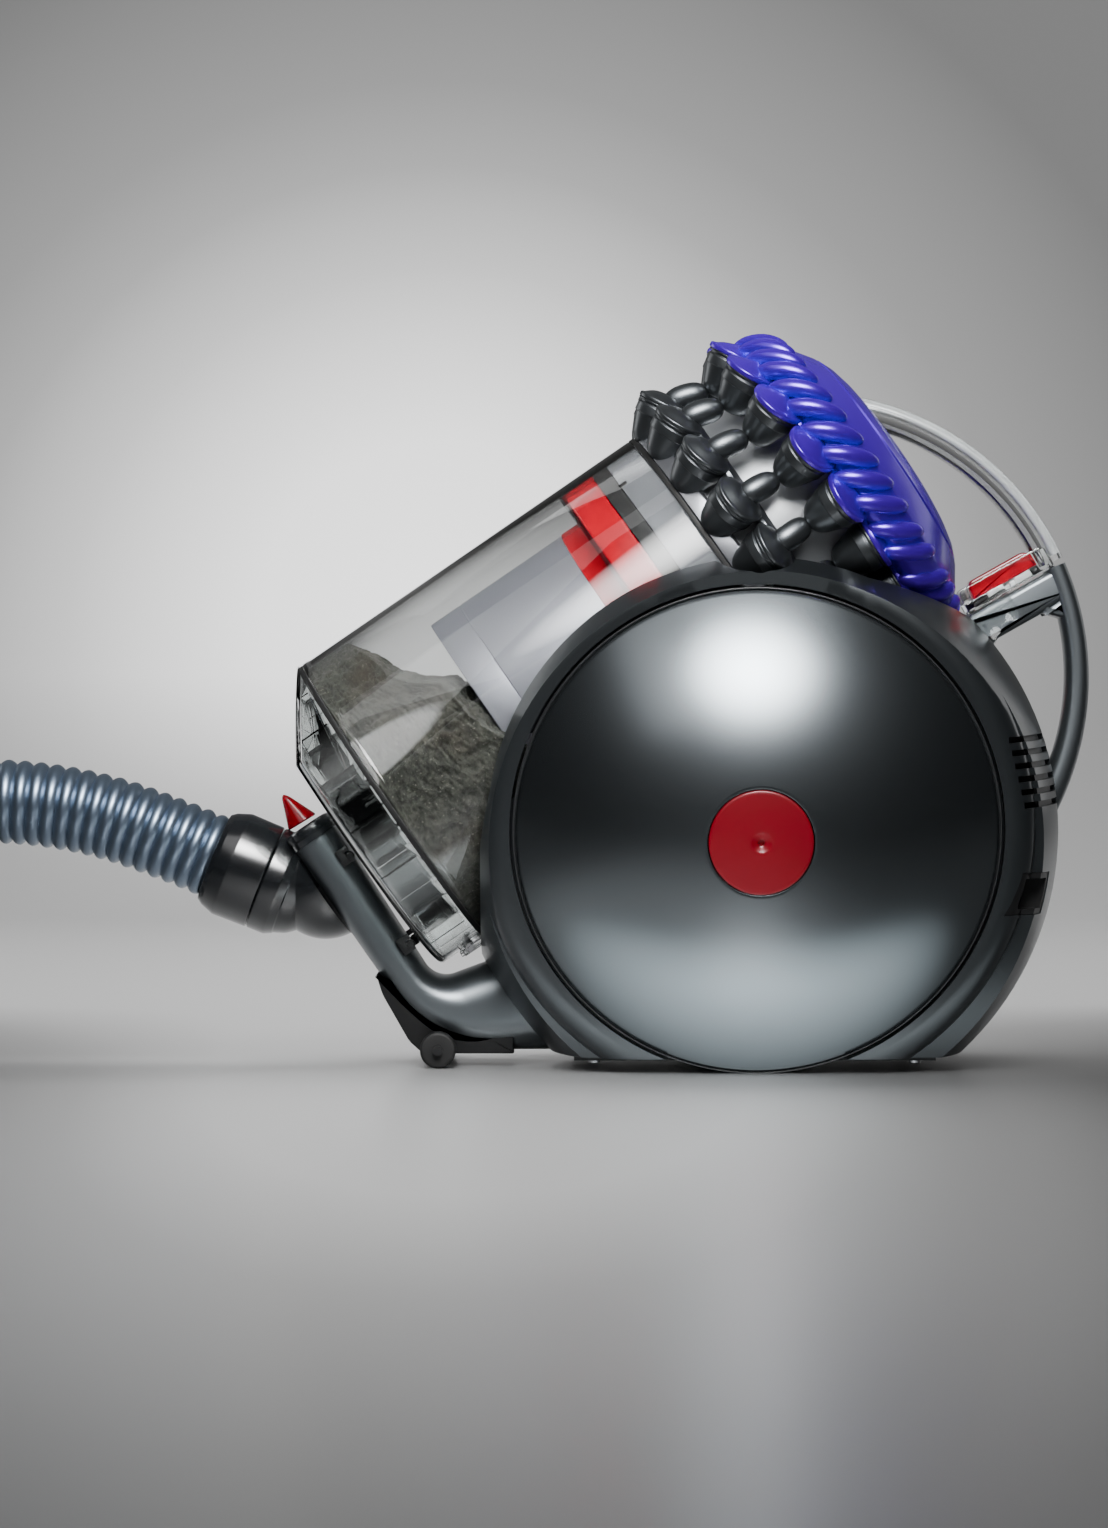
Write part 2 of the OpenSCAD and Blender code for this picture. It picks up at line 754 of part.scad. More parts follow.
casing_near();
casing_far();
bin_cradle();
underplate();
louvre_screen();
cable_outlet();
axle_near();
axle_far();
inlet_duct();
duct_collar();
duct_clips();
chin_plate();
hose_elbow();
rear_handle();
motor_bucket();
motor_mounts();
motor();
exhaust_filter();
reel_bracket();
case_screws();
hose();
wand_cuff();
wand_handle();
near_wheel_dome();
near_wheel_tyre();
near_wheel_hub();
near_hub_cap();
far_wheel_dome();
far_wheel_tyre();
far_wheel_hub();
far_hub_cap();
front_rollers();
roller_shaft();
hose_cuff();
duct_latch();
power_button();
rewind_button();
impeller();
cable_reel();
bin_tube();
base_door();
bin_floor();
base_seal();
hinge_pin();
base_catch();
shroud();
red_collar();
seal_band();
bin_head();
seam_ring();
cyclone_core();
cyclones_lower();
lids_lower();
cyclones_upper();
violet_cover();
end_cap();
carry_handle();
handle_core();
release_button();
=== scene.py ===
"""Looks of a cylinder vacuum cleaner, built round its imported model.

Shapes are worked out in millimetres in the row's own frame or in a working frame laid on it
(the bin's, a wheel's, the cuff's), and become metres when the mesh is made.
"""
import logging
import math
from dataclasses import dataclass, field
from enum import Enum
from typing import Any, Sequence, Union

import bmesh
import bpy
import numpy as np
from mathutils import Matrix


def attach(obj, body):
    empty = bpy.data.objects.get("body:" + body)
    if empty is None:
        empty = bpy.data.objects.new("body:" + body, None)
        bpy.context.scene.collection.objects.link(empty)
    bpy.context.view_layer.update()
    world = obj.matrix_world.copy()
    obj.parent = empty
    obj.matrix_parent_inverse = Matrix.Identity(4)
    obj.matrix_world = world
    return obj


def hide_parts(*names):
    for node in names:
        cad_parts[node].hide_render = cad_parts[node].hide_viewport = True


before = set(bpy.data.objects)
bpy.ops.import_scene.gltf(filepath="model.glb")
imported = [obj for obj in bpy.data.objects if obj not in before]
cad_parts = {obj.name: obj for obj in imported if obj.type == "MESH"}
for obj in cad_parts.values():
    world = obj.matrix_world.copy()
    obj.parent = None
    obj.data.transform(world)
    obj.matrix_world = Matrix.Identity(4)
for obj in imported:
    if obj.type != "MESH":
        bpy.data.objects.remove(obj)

log = logging.getLogger("vacuum_cleaner")
Array = np.ndarray
Triple = tuple[float, float, float]
Rgb = tuple[float, float, float]
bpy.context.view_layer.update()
MM = 0.001
TAU = 2 * math.pi


class Body(str, Enum):
    """The rigid bodies that pieces ride on."""

    MACHINE = "machine"
    NEAR_WHEEL = "near_wheel"
    FAR_WHEEL = "far_wheel"
    ROLLERS = "rollers"
    CUFF = "hose_cuff"
    LATCH = "duct_latch"
    BIN = "bin"
    CATCH = "base_catch"
    RELEASE = "release_button"
    POWER = "power_button"
    REWIND = "rewind_button"


# ---------------------------------------------------------------- working frames
@dataclass(frozen=True)
class Place:
    """A working frame: its origin and its three unit axes, written in the row's frame."""

    origin: Triple
    x: Triple
    y: Triple
    z: Triple

    def __call__(self, points: Array) -> Array:
        """Carries points from this frame to the row's: origin + px*x + py*y + pz*z."""
        return np.asarray(self.origin) + points @ np.array([self.x, self.y, self.z])


def turned(origin: Triple, degrees: float) -> Place:
    """A frame turned about the row's Y axis.

    Args:
        origin: Where it stands, in millimetres.
        degrees: The turn, right-handed about +Y.

    Returns:
        The frame.
    """
    c, s = math.cos(math.radians(degrees)), math.sin(math.radians(degrees))
    return Place(origin, (c, 0, -s), (0, 1, 0), (s, 0, c))


BIN = turned((-129, 0, 132.9), 55.5)
CUFF = turned((-192.4, 0, 93.8), -68)
STRUT = turned((170, 0, 230), -29.4)
ARC = Place((81.2, 0, 196.3), (1, 0, 0), (0, 0, 1), (0, -1, 0))
SIDE = Place((0, 0, 0), (1, 0, 0), (0, 0, 1), (0, -1, 0))
STRUT_SIDE = Place(STRUT.origin, STRUT.x, STRUT.z, (0, -1, 0))
WHEEL_LEAN = math.radians(5.5)


def wheel_place(side: int) -> Place:
    """The frame of one wheel: its z axis points outboard, and leans with the wheel."""
    c, s = math.cos(WHEEL_LEAN), math.sin(WHEEL_LEAN)
    return Place((53.5, side * 86, 120 * c), (1, 0, 0), (0, -s, -side * c), (0, side * c, -s))


# ---------------------------------------------------------------- surfaces
@dataclass
class Shape:
    """Points and faces on their way to a mesh; faces come in blocks of equal-sided ones."""

    points: Array
    faces: list[Array]

    def moved(self, place: Place) -> "Shape":
        """The same shape carried from a working frame to the row's frame."""
        return Shape(place(self.points), self.faces)

    def __add__(self, other: "Shape") -> "Shape":
        """Both shapes as one, as separate shells."""
        shift = len(self.points)
        return Shape(np.vstack([self.points, other.points]),
                     self.faces + [block + shift for block in other.faces])


def joined(shapes: Sequence[Shape]) -> Shape:
    """All the shapes as one."""
    total = shapes[0]
    for shape in shapes[1:]:
        total = total + shape
    return total


def grid(points: Array, wrap_rows: bool = False, wrap_cols: bool = False,
         caps: bool = False) -> Shape:
    """Quads over an array of rows and columns of points.

    Args:
        points: Shaped (rows, columns, 3).
        wrap_rows: Joins the last row to the first.
        wrap_cols: Joins the last column to the first.
        caps: Closes the first and last rows with flat faces.

    Returns:
        The surface.
    """
    n, m = points.shape[:2]
    a, b = np.meshgrid(np.arange(n if wrap_rows else n - 1),
                       np.arange(m if wrap_cols else m - 1), indexing="ij")
    c, d = (a + 1) % n, (b + 1) % m
    faces = [np.stack([a * m + b, a * m + d, c * m + d, c * m + b], -1).reshape(-1, 4)]
    if caps:
        faces += [np.arange(m)[None, ::-1], (n - 1) * m + np.arange(m)[None, :]]
    return Shape(points.reshape(-1, 3).astype(float), faces)


def lathe(profile: Array, steps: int = 96) -> Shape:
    """A closed (radius, height) profile turned about z: (r cos t, r sin t, h)."""
    profile = np.asarray(profile, float)
    t = np.linspace(0, TAU, steps, endpoint=False)[:, None]
    r, h = profile[None, :, 0], profile[None, :, 1]
    return grid(np.stack([r * np.cos(t), r * np.sin(t), h + 0 * t], -1), True, True)


def fillet(corners: Sequence[Sequence[float]], radius: Union[float, Sequence[float]],
           steps: int = 5) -> Array:
    """A closed outline with each corner turned into a curve.

    Each corner P is replaced by the quadratic curve from P + a to P + b that has P as its
    middle control point, where a and b run to its neighbours, as long as the radius allows.

    Args:
        corners: The outline's corners, in order.
        radius: How far back each curve starts, one number or one for each corner.
        steps: Segments in each curve.

    Returns:
        The outline's points.
    """
    p = np.asarray(corners, float)
    r = np.broadcast_to(np.asarray(radius, float), (len(p),))[:, None]
    a, b = np.roll(p, 1, 0) - p, np.roll(p, -1, 0) - p
    la, lb = (np.linalg.norm(v, axis=1, keepdims=True) for v in (a, b))
    a, b = a / la * np.minimum(r, la * 0.49), b / lb * np.minimum(r, lb * 0.49)
    u = np.linspace(0, 1, steps + 1)[None, :, None]
    curve = p[:, None] + (1 - u) ** 2 * a[:, None] + u ** 2 * b[:, None]
    return curve.reshape(-1, p.shape[1])


def unit(v: Array) -> Array:
    """Vectors scaled to length 1, along the last axis."""
    return v / np.maximum(np.linalg.norm(v, axis=-1, keepdims=True), 1e-9)


def inset(outline: Array, distance: float) -> Array:
    """A closed outline moved inwards along its own normals."""
    n = unit(unit(np.roll(outline, -1, 0) - outline) + unit(outline - np.roll(outline, 1, 0)))
    x, y = outline[:, 0], outline[:, 1]
    turn = np.sign(np.sum(x * np.roll(y, -1) - y * np.roll(x, -1)))
    return outline + turn * distance * np.stack([-n[:, 1], n[:, 0]], 1)


def slab(outline: Array, low: float, high: float, edge: float = 0.8, steps: int = 3) -> Shape:
    """An outline drawn up from low to high, its two rims rounded by quarter circles."""
    q = np.linspace(0, math.pi / 2, steps + 1)
    ins = edge * (1 - np.sin(q))
    up = edge * (1 - np.cos(q))
    rings = [np.c_[inset(outline, i), np.full(len(outline), low + u)] for i, u in zip(ins, up)]
    rings += [np.c_[inset(outline, i), np.full(len(outline), high - u)]
              for i, u in zip(ins[::-1], up[::-1])]
    return grid(np.array(rings), False, True, caps=True)


def rounded_box(size: Triple, centre: Triple, corner: float = 1.0, edge: float = 0.5) -> Shape:
    """A slab on a rectangle with rounded corners and rims."""
    w, h, d = size[0] / 2, size[1] / 2, size[2] / 2
    shape = slab(fillet([(-w, -h), (w, -h), (w, h), (-w, h)], corner, 4), -d, d, edge)
    shape.points += np.asarray(centre)
    return shape


def superellipse(a: float, b: float, power: float, steps: int) -> Array:
    """Points of |x/a|^p + |y/b|^p = 1."""
    t = np.linspace(0, TAU, steps, endpoint=False)
    c, s = np.cos(t), np.sin(t)
    return np.stack([a * np.sign(c) * np.abs(c) ** (2 / power),
                     b * np.sign(s) * np.abs(s) ** (2 / power)], 1)


def smooth_path(points: Array, spacing: float) -> Array:
    """A Catmull-Rom curve through the points, cut to equal steps along its length."""
    p = np.vstack([2 * points[0] - points[1], points, 2 * points[-1] - points[-2]])
    u = np.linspace(0, 1, 40, endpoint=False)[None, :, None]
    a, b, c, d = (p[k:len(p) - 3 + k][:, None] for k in range(4))
    q = 0.5 * (2 * b + (c - a) * u + (2 * a - 5 * b + 4 * c - d) * u ** 2
               + (3 * b - a - 3 * c + d) * u ** 3)
    q = np.vstack([q.reshape(-1, 3), points[-1:]])
    run = np.r_[0, np.cumsum(np.linalg.norm(np.diff(q, axis=0), axis=1))]
    at = np.linspace(0, run[-1], max(2, round(run[-1] / spacing) + 1))
    return np.stack([np.interp(at, run, q[:, k]) for k in range(3)], 1)


def sweep(path: Array, section: Array, across: Union[Triple, None] = None) -> Shape:
    """A section carried along a path, closed at both ends.

    Point k of ring i is path_i + x_k * side_i + y_k * lift_i, where side_i is level (or the
    given direction) and lift_i stands square to it and to the path.

    Args:
        path: The middle line, (rings, 3).
        section: (points, 2), or (rings, points, 2) where it changes along the path.
        across: The direction that the section's x axis keeps, or None for level ones.

    Returns:
        The closed tube.
    """
    t = unit(np.gradient(path, axis=0))
    side = unit(np.cross(t, [0, 0, 1.0]) if across is None else
                np.broadcast_to(across, t.shape))
    lift = np.cross(side, t)
    section = np.broadcast_to(section, (len(path),) + section.shape[-2:])
    rings = path[:, None] + section[..., :1] * side[:, None] + section[..., 1:] * lift[:, None]
    return grid(rings, False, True, caps=True)


def arc(centre: Sequence[float], radius: float, start: float, end: float, steps: int) -> Array:
    """Points of a circle's arc, between two angles in degrees."""
    t = np.radians(np.linspace(start, end, steps))
    return np.asarray(centre) + radius * np.stack([np.cos(t), np.sin(t)], 1)


def fbm(p: Array, seed: int, octaves: int = 4) -> Array:
    """Layered smooth noise at points (n, 3), about -1 to 1.

    Each layer sums eight plane waves with seeded directions, bent by each other's sines, at
    twice the pitch and half the height of the layer before.
    """
    rng = np.random.default_rng(seed)
    total = np.zeros(len(p))
    for octave in range(octaves):
        waves = unit(rng.normal(size=(8, 3)))
        phase = rng.uniform(0, TAU, 8)
        arg = p @ waves.T * 2 ** octave * rng.uniform(0.7, 1.3, 8) + phase
        total += np.sin(arg + 1.7 * np.sin(np.roll(arg, 3, 1))).mean(1) * 2 / 2 ** octave
    return total / 1.9


# ---------------------------------------------------------------- shader expressions
class Wire:
    """A value in a material's node tree; arithmetic on it adds Math nodes."""

    def __init__(self, paint: "Paint", socket: Union[bpy.types.NodeSocket, None]) -> None:
        """Wraps an output socket, or nothing where a node has none."""
        self.paint, self.socket = paint, socket

    def _math(self, operation: str, *values: Any, clamp: bool = False) -> "Wire":
        """A Math node over the given values, in order."""
        return self.paint.node("ShaderNodeMath", {"operation": operation, "use_clamp": clamp},
                               dict(enumerate(values)))

    def __add__(self, other: Any) -> "Wire":
        """self + other."""
        return self._math("ADD", self, other)

    def __sub__(self, other: Any) -> "Wire":
        """self - other."""
        return self._math("SUBTRACT", self, other)

    def __rsub__(self, other: Any) -> "Wire":
        """other - self."""
        return self._math("SUBTRACT", other, self)

    def __mul__(self, other: Any) -> "Wire":
        """self * other."""
        return self._math("MULTIPLY", self, other)

    def __truediv__(self, other: Any) -> "Wire":
        """self / other."""
        return self._math("DIVIDE", self, other)

    __radd__, __rmul__ = __add__, __mul__

    def above(self, low: float, high: float) -> "Wire":
        """0 below low, 1 above high, a straight ramp between."""
        return self._math("MULTIPLY", self - low, 1 / (high - low), clamp=True)


class Paint:
    """A material under construction."""

    def __init__(self, name: str) -> None:
        """Starts an empty node material."""
        self.material = bpy.data.materials.new(name)
        self.material.use_nodes = True
        self.tree = self.material.node_tree
        self.tree.nodes.clear()

    def node(self, kind: str, settings: Union[dict[str, Any], None] = None,
             inputs: Union[dict[Any, Any], None] = None, out: Union[int, str] = 0) -> Wire:
        """Adds a node.

        Args:
            kind: The node's type.
            settings: Its own settings, set first; "stops" fills a colour ramp.
            inputs: Socket name or number to a value or a Wire.
            out: The output to hand back.

        Returns:
            That output.
        """
        made = self.tree.nodes.new(kind)
        for key, value in (settings or {}).items():
            if key == "stops":
                ramp = made.color_ramp
                while len(ramp.elements) < len(value):
                    ramp.elements.new(0.5)
                for element, (place, colour) in zip(ramp.elements, value):
                    element.position, element.color = place, (*colour, 1)
            else:
                setattr(made, key, value)
        for key, value in (inputs or {}).items():
            if isinstance(value, Wire):
                self.tree.links.new(value.socket, made.inputs[key])
            else:
                made.inputs[key].default_value = value
        return Wire(self, made.outputs[out] if len(made.outputs) else None)

    def spot(self) -> Wire:
        """Object coordinates, in metres."""
        return self.node("ShaderNodeTexCoord", out="Object")

    def split(self, vector: Wire) -> list[Wire]:
        """A vector's three parts."""
        parts = self.node("ShaderNodeSeparateXYZ", {}, {0: vector})
        return [Wire(self, socket) for socket in parts.socket.node.outputs]

    def stretched(self, scale: Triple) -> Wire:
        """Object coordinates, scaled along each axis."""
        return self.node("ShaderNodeMapping", {}, {"Vector": self.spot(), "Scale": scale})

    def noise(self, scale: float, detail: float = 3, rough: float = 0.55,
              vector: Union[Wire, None] = None) -> Wire:
        """Noise, 0 to 1, with scale counted per metre."""
        return self.node("ShaderNodeTexNoise", {}, {
            "Vector": vector or self.spot(), "Scale": scale, "Detail": detail, "Roughness": rough})

    def mix(self, share: Any, a: Any, b: Any) -> Wire:
        """Colour a, going to colour b as share goes from 0 to 1."""
        a, b = (c if isinstance(c, Wire) else (*c, 1) for c in (a, b))
        return self.node("ShaderNodeMix", {"data_type": "RGBA"}, {0: share, 6: a, 7: b}, out=2)

    def bump(self, height: Wire, depth: float, strength: float = 0.5) -> Wire:
        """A Bump node that lifts the surface by up to depth metres."""
        return self.node("ShaderNodeBump", {}, {"Height": height, "Distance": depth,
                                                "Strength": strength})

    def shader(self, **sockets: Any) -> Wire:
        """A Principled shader; a socket's name is written with _ for its spaces."""
        named = {key.replace("_", " "): value for key, value in sockets.items()}
        return self.node("ShaderNodeBsdfPrincipled", {}, named)

    def finish(self, shader: Wire) -> bpy.types.Material:
        """Sets the surface and hands the material back."""
        self.node("ShaderNodeOutputMaterial", {}, {"Surface": shader})
        return self.material


def drifted(colour: Rgb, drift: float) -> tuple[Rgb, Rgb]:
    """A colour's darker and lighter tone, each off it by the share drift."""
    return (tuple(c * (1 - drift) for c in colour),
            tuple(min(1, c * (1 + drift)) for c in colour))


@dataclass(frozen=True)
class Finish:
    """What a piece's surface is made of; a kind of finish draws its own nodes."""

    name: str

    def material(self) -> bpy.types.Material:
        """The finish's material, made once."""
        return bpy.data.materials.get(self.name) or self.paint(Paint(self.name))

    def paint(self, p: Paint) -> bpy.types.Material:
        """Draws the nodes."""
        raise NotImplementedError


@dataclass(frozen=True)
class Moulded(Finish):
    """Moulded or painted plastic: faint tone drift, a fine grain, handled spots that shine."""

    colour: Rgb = (0.1, 0.1, 0.1)
    rough: float = 0.3
    metal: float = 0.0
    coat: float = 0.0
    coat_rough: float = 0.05
    grain: float = 0.00002
    grain_pitch: float = 2600.0
    drift: float = 0.12
    specular: float = 0.5

    def paint(self, p: Paint) -> bpy.types.Material:
        """Colour drifts with broad noise, roughness with smears, and grain lifts the normal."""
        broad = p.noise(9, 4)
        smear = p.noise(38, 5, 0.62, p.stretched((1, 1, 2.2)))
        grain = p.noise(self.grain_pitch, 2, 0.5)
        colour = p.mix(broad, *drifted(self.colour, self.drift))
        rough = self.rough * (0.86 + smear * 0.28) + grain * 0.02
        return p.finish(p.shader(
            Base_Color=colour, Roughness=rough, Metallic=self.metal, Coat_Weight=self.coat,
            Coat_Roughness=self.coat_rough, Specular_IOR_Level=self.specular,
            Normal=p.bump(grain, self.grain, 0.35)))


@dataclass(frozen=True)
class Pearl(Finish):
    """Dark metallic lacquer under a thin clear coat."""

    colour: Rgb = (0.2, 0.22, 0.24)
    rough: float = 0.34
    metal: float = 0.85
    coat: float = 0.3
    coat_rough: float = 0.12
    drift: float = 0.06

    def paint(self, p: Paint) -> bpy.types.Material:
        """Tone drifts with broad and fine noise, and roughness a little with a broad one."""
        broad = p.noise(7, 2)
        fine = p.noise(900, 2, 0.5)
        tones = drifted(self.colour, self.drift)
        rough = self.rough * (0.98 + p.noise(12, 1) * 0.04)
        return p.finish(p.shader(
            Base_Color=p.mix(broad * 0.8 + fine * 0.2, *tones), Roughness=rough,
            Metallic=self.metal, Coat_Weight=self.coat, Coat_Roughness=self.coat_rough))


@dataclass(frozen=True)
class Clear(Finish):
    """Clear moulded plastic that lets the lamps light what is behind it."""

    tint: Rgb = (0.985, 0.995, 0.992)
    rough: float = 0.0
    ior: float = 1.49
    passes: float = 0.93

    def paint(self, p: Paint) -> bpy.types.Material:
        """Glass to the eye; a plain pane to rays that look for a lamp."""
        haze = p.noise(45, 4, 0.6)
        glass = p.shader(Base_Color=(*self.tint, 1), Roughness=self.rough + haze * 0.012,
                         IOR=self.ior, Transmission_Weight=1.0)
        pane = p.node("ShaderNodeBsdfTransparent", {},
                      {"Color": (*(c * self.passes for c in self.tint), 1)})
        lamp = p.node("ShaderNodeLightPath", out="Is Shadow Ray")
        return p.finish(p.node("ShaderNodeMixShader", {}, {0: lamp, 1: glass, 2: pane}))


@dataclass(frozen=True)
class Fluff(Finish):
    """Household dust: grey felted fibres whose tone follows their bump, so the hollows carry
    painted shade on top of the dust's own tone drift, with pale and brown flecks.
    """

    def paint(self, p: Paint) -> bpy.types.Material:
        """Clumps, threads and flecks, each a noise at its own pitch, and a deep soft bump."""
        clumps = p.noise(95, 5, 0.65)
        threads = p.noise(420, 6, 0.72, p.stretched((1.0, 1.3, 0.7)))
        flecks = p.noise(700, 2, 0.5).above(0.66, 0.72)
        # The tone ramp follows the same clumps and threads as the bump: the dust's own light and
        # dark fibres, and painted shade in the bump's hollows.
        base = p.node("ShaderNodeValToRGB", {"stops": [
            (0.28, (0.010, 0.011, 0.009)), (0.45, (0.032, 0.034, 0.028)),
            (0.58, (0.075, 0.076, 0.064)), (0.74, (0.17, 0.17, 0.145))]},
            {0: clumps * 0.45 + threads * 0.55})
        warm = p.mix(p.noise(30, 3).above(0.5, 0.75) * 0.4, base, (0.07, 0.05, 0.034))
        colour = p.mix(flecks * 0.5, warm, (0.30, 0.29, 0.25))
        height = clumps * 0.5 + threads * 0.6
        return p.finish(p.shader(Base_Color=colour, Roughness=0.96, Specular_IOR_Level=0.1,
                                 Sheen_Weight=0.1, Normal=p.bump(height, 0.0016, 0.9)))


@dataclass(frozen=True)
class Brushed(Finish):
    """Turned or brushed metal, with fine streaks along the row's Y axis."""

    colour: Rgb = (0.6, 0.6, 0.62)
    rough: float = 0.28

    def paint(self, p: Paint) -> bpy.types.Material:
        """Streaks are noise squeezed square to their run."""
        streaks = p.noise(600, 4, 0.6, p.stretched((1, 0.05, 1)))
        return p.finish(p.shader(
            Base_Color=p.mix(streaks, tuple(c * 0.85 for c in self.colour), self.colour),
            Metallic=1.0, Roughness=self.rough * (0.8 + streaks * 0.4),
            Normal=p.bump(streaks, 0.00001, 0.3)))


class Finishes:
    """Every finish on the machine, named for where it is used or for what it is."""

    WHEEL = Pearl("wheel_lacquer", (0.13, 0.145, 0.155), 0.27, 0.95, 0.12, 0.2)
    BALL = Pearl("ball_lacquer", (0.045, 0.052, 0.057), 0.3, 0.45, 0.15, 0.16)
    DUCT = Pearl("duct_lacquer", (0.125, 0.14, 0.15), 0.38, 0.75, 0.1, 0.2)
    ELBOW = Moulded("elbow_plastic", (0.015, 0.017, 0.020), 0.2, 0.0, 0.4, 0.08, specular=0.7)
    BLACK = Moulded("moulded_black", (0.008, 0.008, 0.009), 0.42, grain=0.00004, specular=0.35)
    RUBBER = Moulded("soft_rubber", (0.006, 0.006, 0.006), 0.62, grain=0.00006, specular=0.3)
    RIM = Moulded("rim_plastic", (0.06, 0.063, 0.066), 0.35)
    RED = Moulded("gloss_red", (0.40, 0.0, 0.010), 0.16, 0.0, 0.4, 0.04, specular=0.3)
    HUB_RED = Moulded("hub_red", (0.42, 0.0, 0.016), 0.32, 0.0, 0.1, 0.12, specular=0.25)
    HOSE = Pearl("hose_skin", (0.17, 0.22, 0.29), 0.34, 0.8, 0.15, 0.15)
    CONE = Pearl("cyclone_plastic", (0.085, 0.093, 0.10), 0.36, 0.75, 0.12, 0.2)
    CORE = Moulded("core_plastic", (0.52, 0.54, 0.56), 0.38, 0.25, 0.3, 0.12, 0.00001)
    VIOLET = Moulded("violet_gloss", (0.10, 0.0, 0.74), 0.24, 0.25, 0.3, 0.1, 0.00001,
                     specular=0.35)
    SILVER = Moulded("shroud_silver", (0.26, 0.265, 0.30), 0.34, 0.5, 0.2, 0.2)
    HEAD = Moulded("head_silver", (0.36, 0.37, 0.40), 0.24, 0.55, 0.6, 0.05)
    CAP = Moulded("cap_metal", (0.5, 0.51, 0.54), 0.3, 0.6, 0.3, 0.1)
    GREY = Moulded("grey_plastic", (0.20, 0.21, 0.22), 0.35)
    INSERT = Moulded("handle_insert", (0.80, 0.83, 0.83), 0.25, 0.2, 0.3, 0.1)
    WHITE = Moulded("white_plastic", (0.85, 0.87, 0.87), 0.3)
    FELT = Moulded("pressed_felt", (0.7, 0.69, 0.64), 0.9, grain=0.0003, grain_pitch=900)
    CLEAR = Clear("clear_plastic")
    TINTED = Clear("clear_grey_plastic", (0.55, 0.58, 0.58), 0.02, 1.35)
    DOOR = Clear("clear_door_plastic", (0.97, 0.99, 0.985), 0.0, 1.3)
    STEEL = Brushed("turned_steel")
    DUST = Fluff("house_dust")


# ---------------------------------------------------------------- pieces
def make_piece(name: str, shape: Shape, finish: Finish, body: Body, slot: str = "",
               stands_for: Sequence[str] = (), crease: float = 32) -> bpy.types.Object:
    """Makes a piece of the machine from a shape.

    Args:
        name: The piece's name.
        shape: Its surface, in millimetres in the row's frame.
        finish: What it is made of.
        body: The rigid body that it rides on.
        slot: The record's material slot, if it has one.
        stands_for: The solids that it replaces.
        crease: The angle in degrees past which an edge stays sharp.

    Returns:
        The object, at the origin, with its place in its mesh.
    """
    mesh = bpy.data.meshes.new(name)
    faces = [face for block in shape.faces for face in block.tolist()]
    mesh.from_pydata((shape.points * MM).tolist(), [], faces)
    return dressed(name, mesh, finish, body, slot, stands_for, crease)


def dressed(name: str, mesh: bpy.types.Mesh, finish: Finish, body: Body, slot: str,
            stands_for: Sequence[str], crease: float, turn_out: bool = True) -> bpy.types.Object:
    """Closes a mesh's seams, shades it, and puts it on its body.

    Args:
        name: The piece's name.
        mesh: Its mesh, in metres in the row's frame.
        finish: What it is made of.
        body: The rigid body that it rides on.
        slot: The record's material slot, if it has one; not used.
        stands_for: The solids that it replaces.
        crease: The angle in degrees past which an edge stays sharp.
        turn_out: Whether to turn its faces outwards.

    Returns:
        The object.
    """
    work = bmesh.new()
    work.from_mesh(mesh)
    bmesh.ops.remove_doubles(work, verts=work.verts, dist=2e-6)
    bmesh.ops.dissolve_degenerate(work, edges=work.edges, dist=1e-7)
    if turn_out:
        bmesh.ops.recalc_face_normals(work, faces=work.faces)
    work.to_mesh(mesh)
    work.free()
    mesh.polygons.foreach_set("use_smooth", [True] * len(mesh.polygons))
    mesh.set_sharp_from_angle(angle=math.radians(crease))
    piece = bpy.data.objects.new(name, mesh)
    bpy.context.scene.collection.objects.link(piece)
    mesh.materials.append(finish.material())
    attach(piece, body.value)
    if stands_for:
        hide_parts(*stands_for)
    log.info("%s: %d faces, %s", name, len(mesh.polygons), finish.name)
    return piece


def skin(node: str, shape: Shape, finish: Finish, body: Body, slot: str,
         crease: float = 32) -> bpy.types.Object:
    """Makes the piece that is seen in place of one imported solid, named after it."""
    return make_piece(f"{node}_skin", shape, finish, body, slot, [node], crease)


def cad_piece(node: str, finish: Finish, body: Body, slot: str,
              crease: float = 28) -> bpy.types.Object:
    """A smooth-shaded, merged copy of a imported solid, in its place."""
    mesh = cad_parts[node].data.copy()
    mesh.materials.clear()
    if "custom_normal" in mesh.attributes:
        mesh.attributes.remove(mesh.attributes["custom_normal"])
    return dressed(f"{node}_skin", mesh, finish, body, slot, [node], crease, turn_out=False)


def wear(node: str, finish: Finish) -> None:
    """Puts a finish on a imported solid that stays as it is."""
    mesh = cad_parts[node].data
    mesh.materials.clear()
    mesh.materials.append(finish.material())


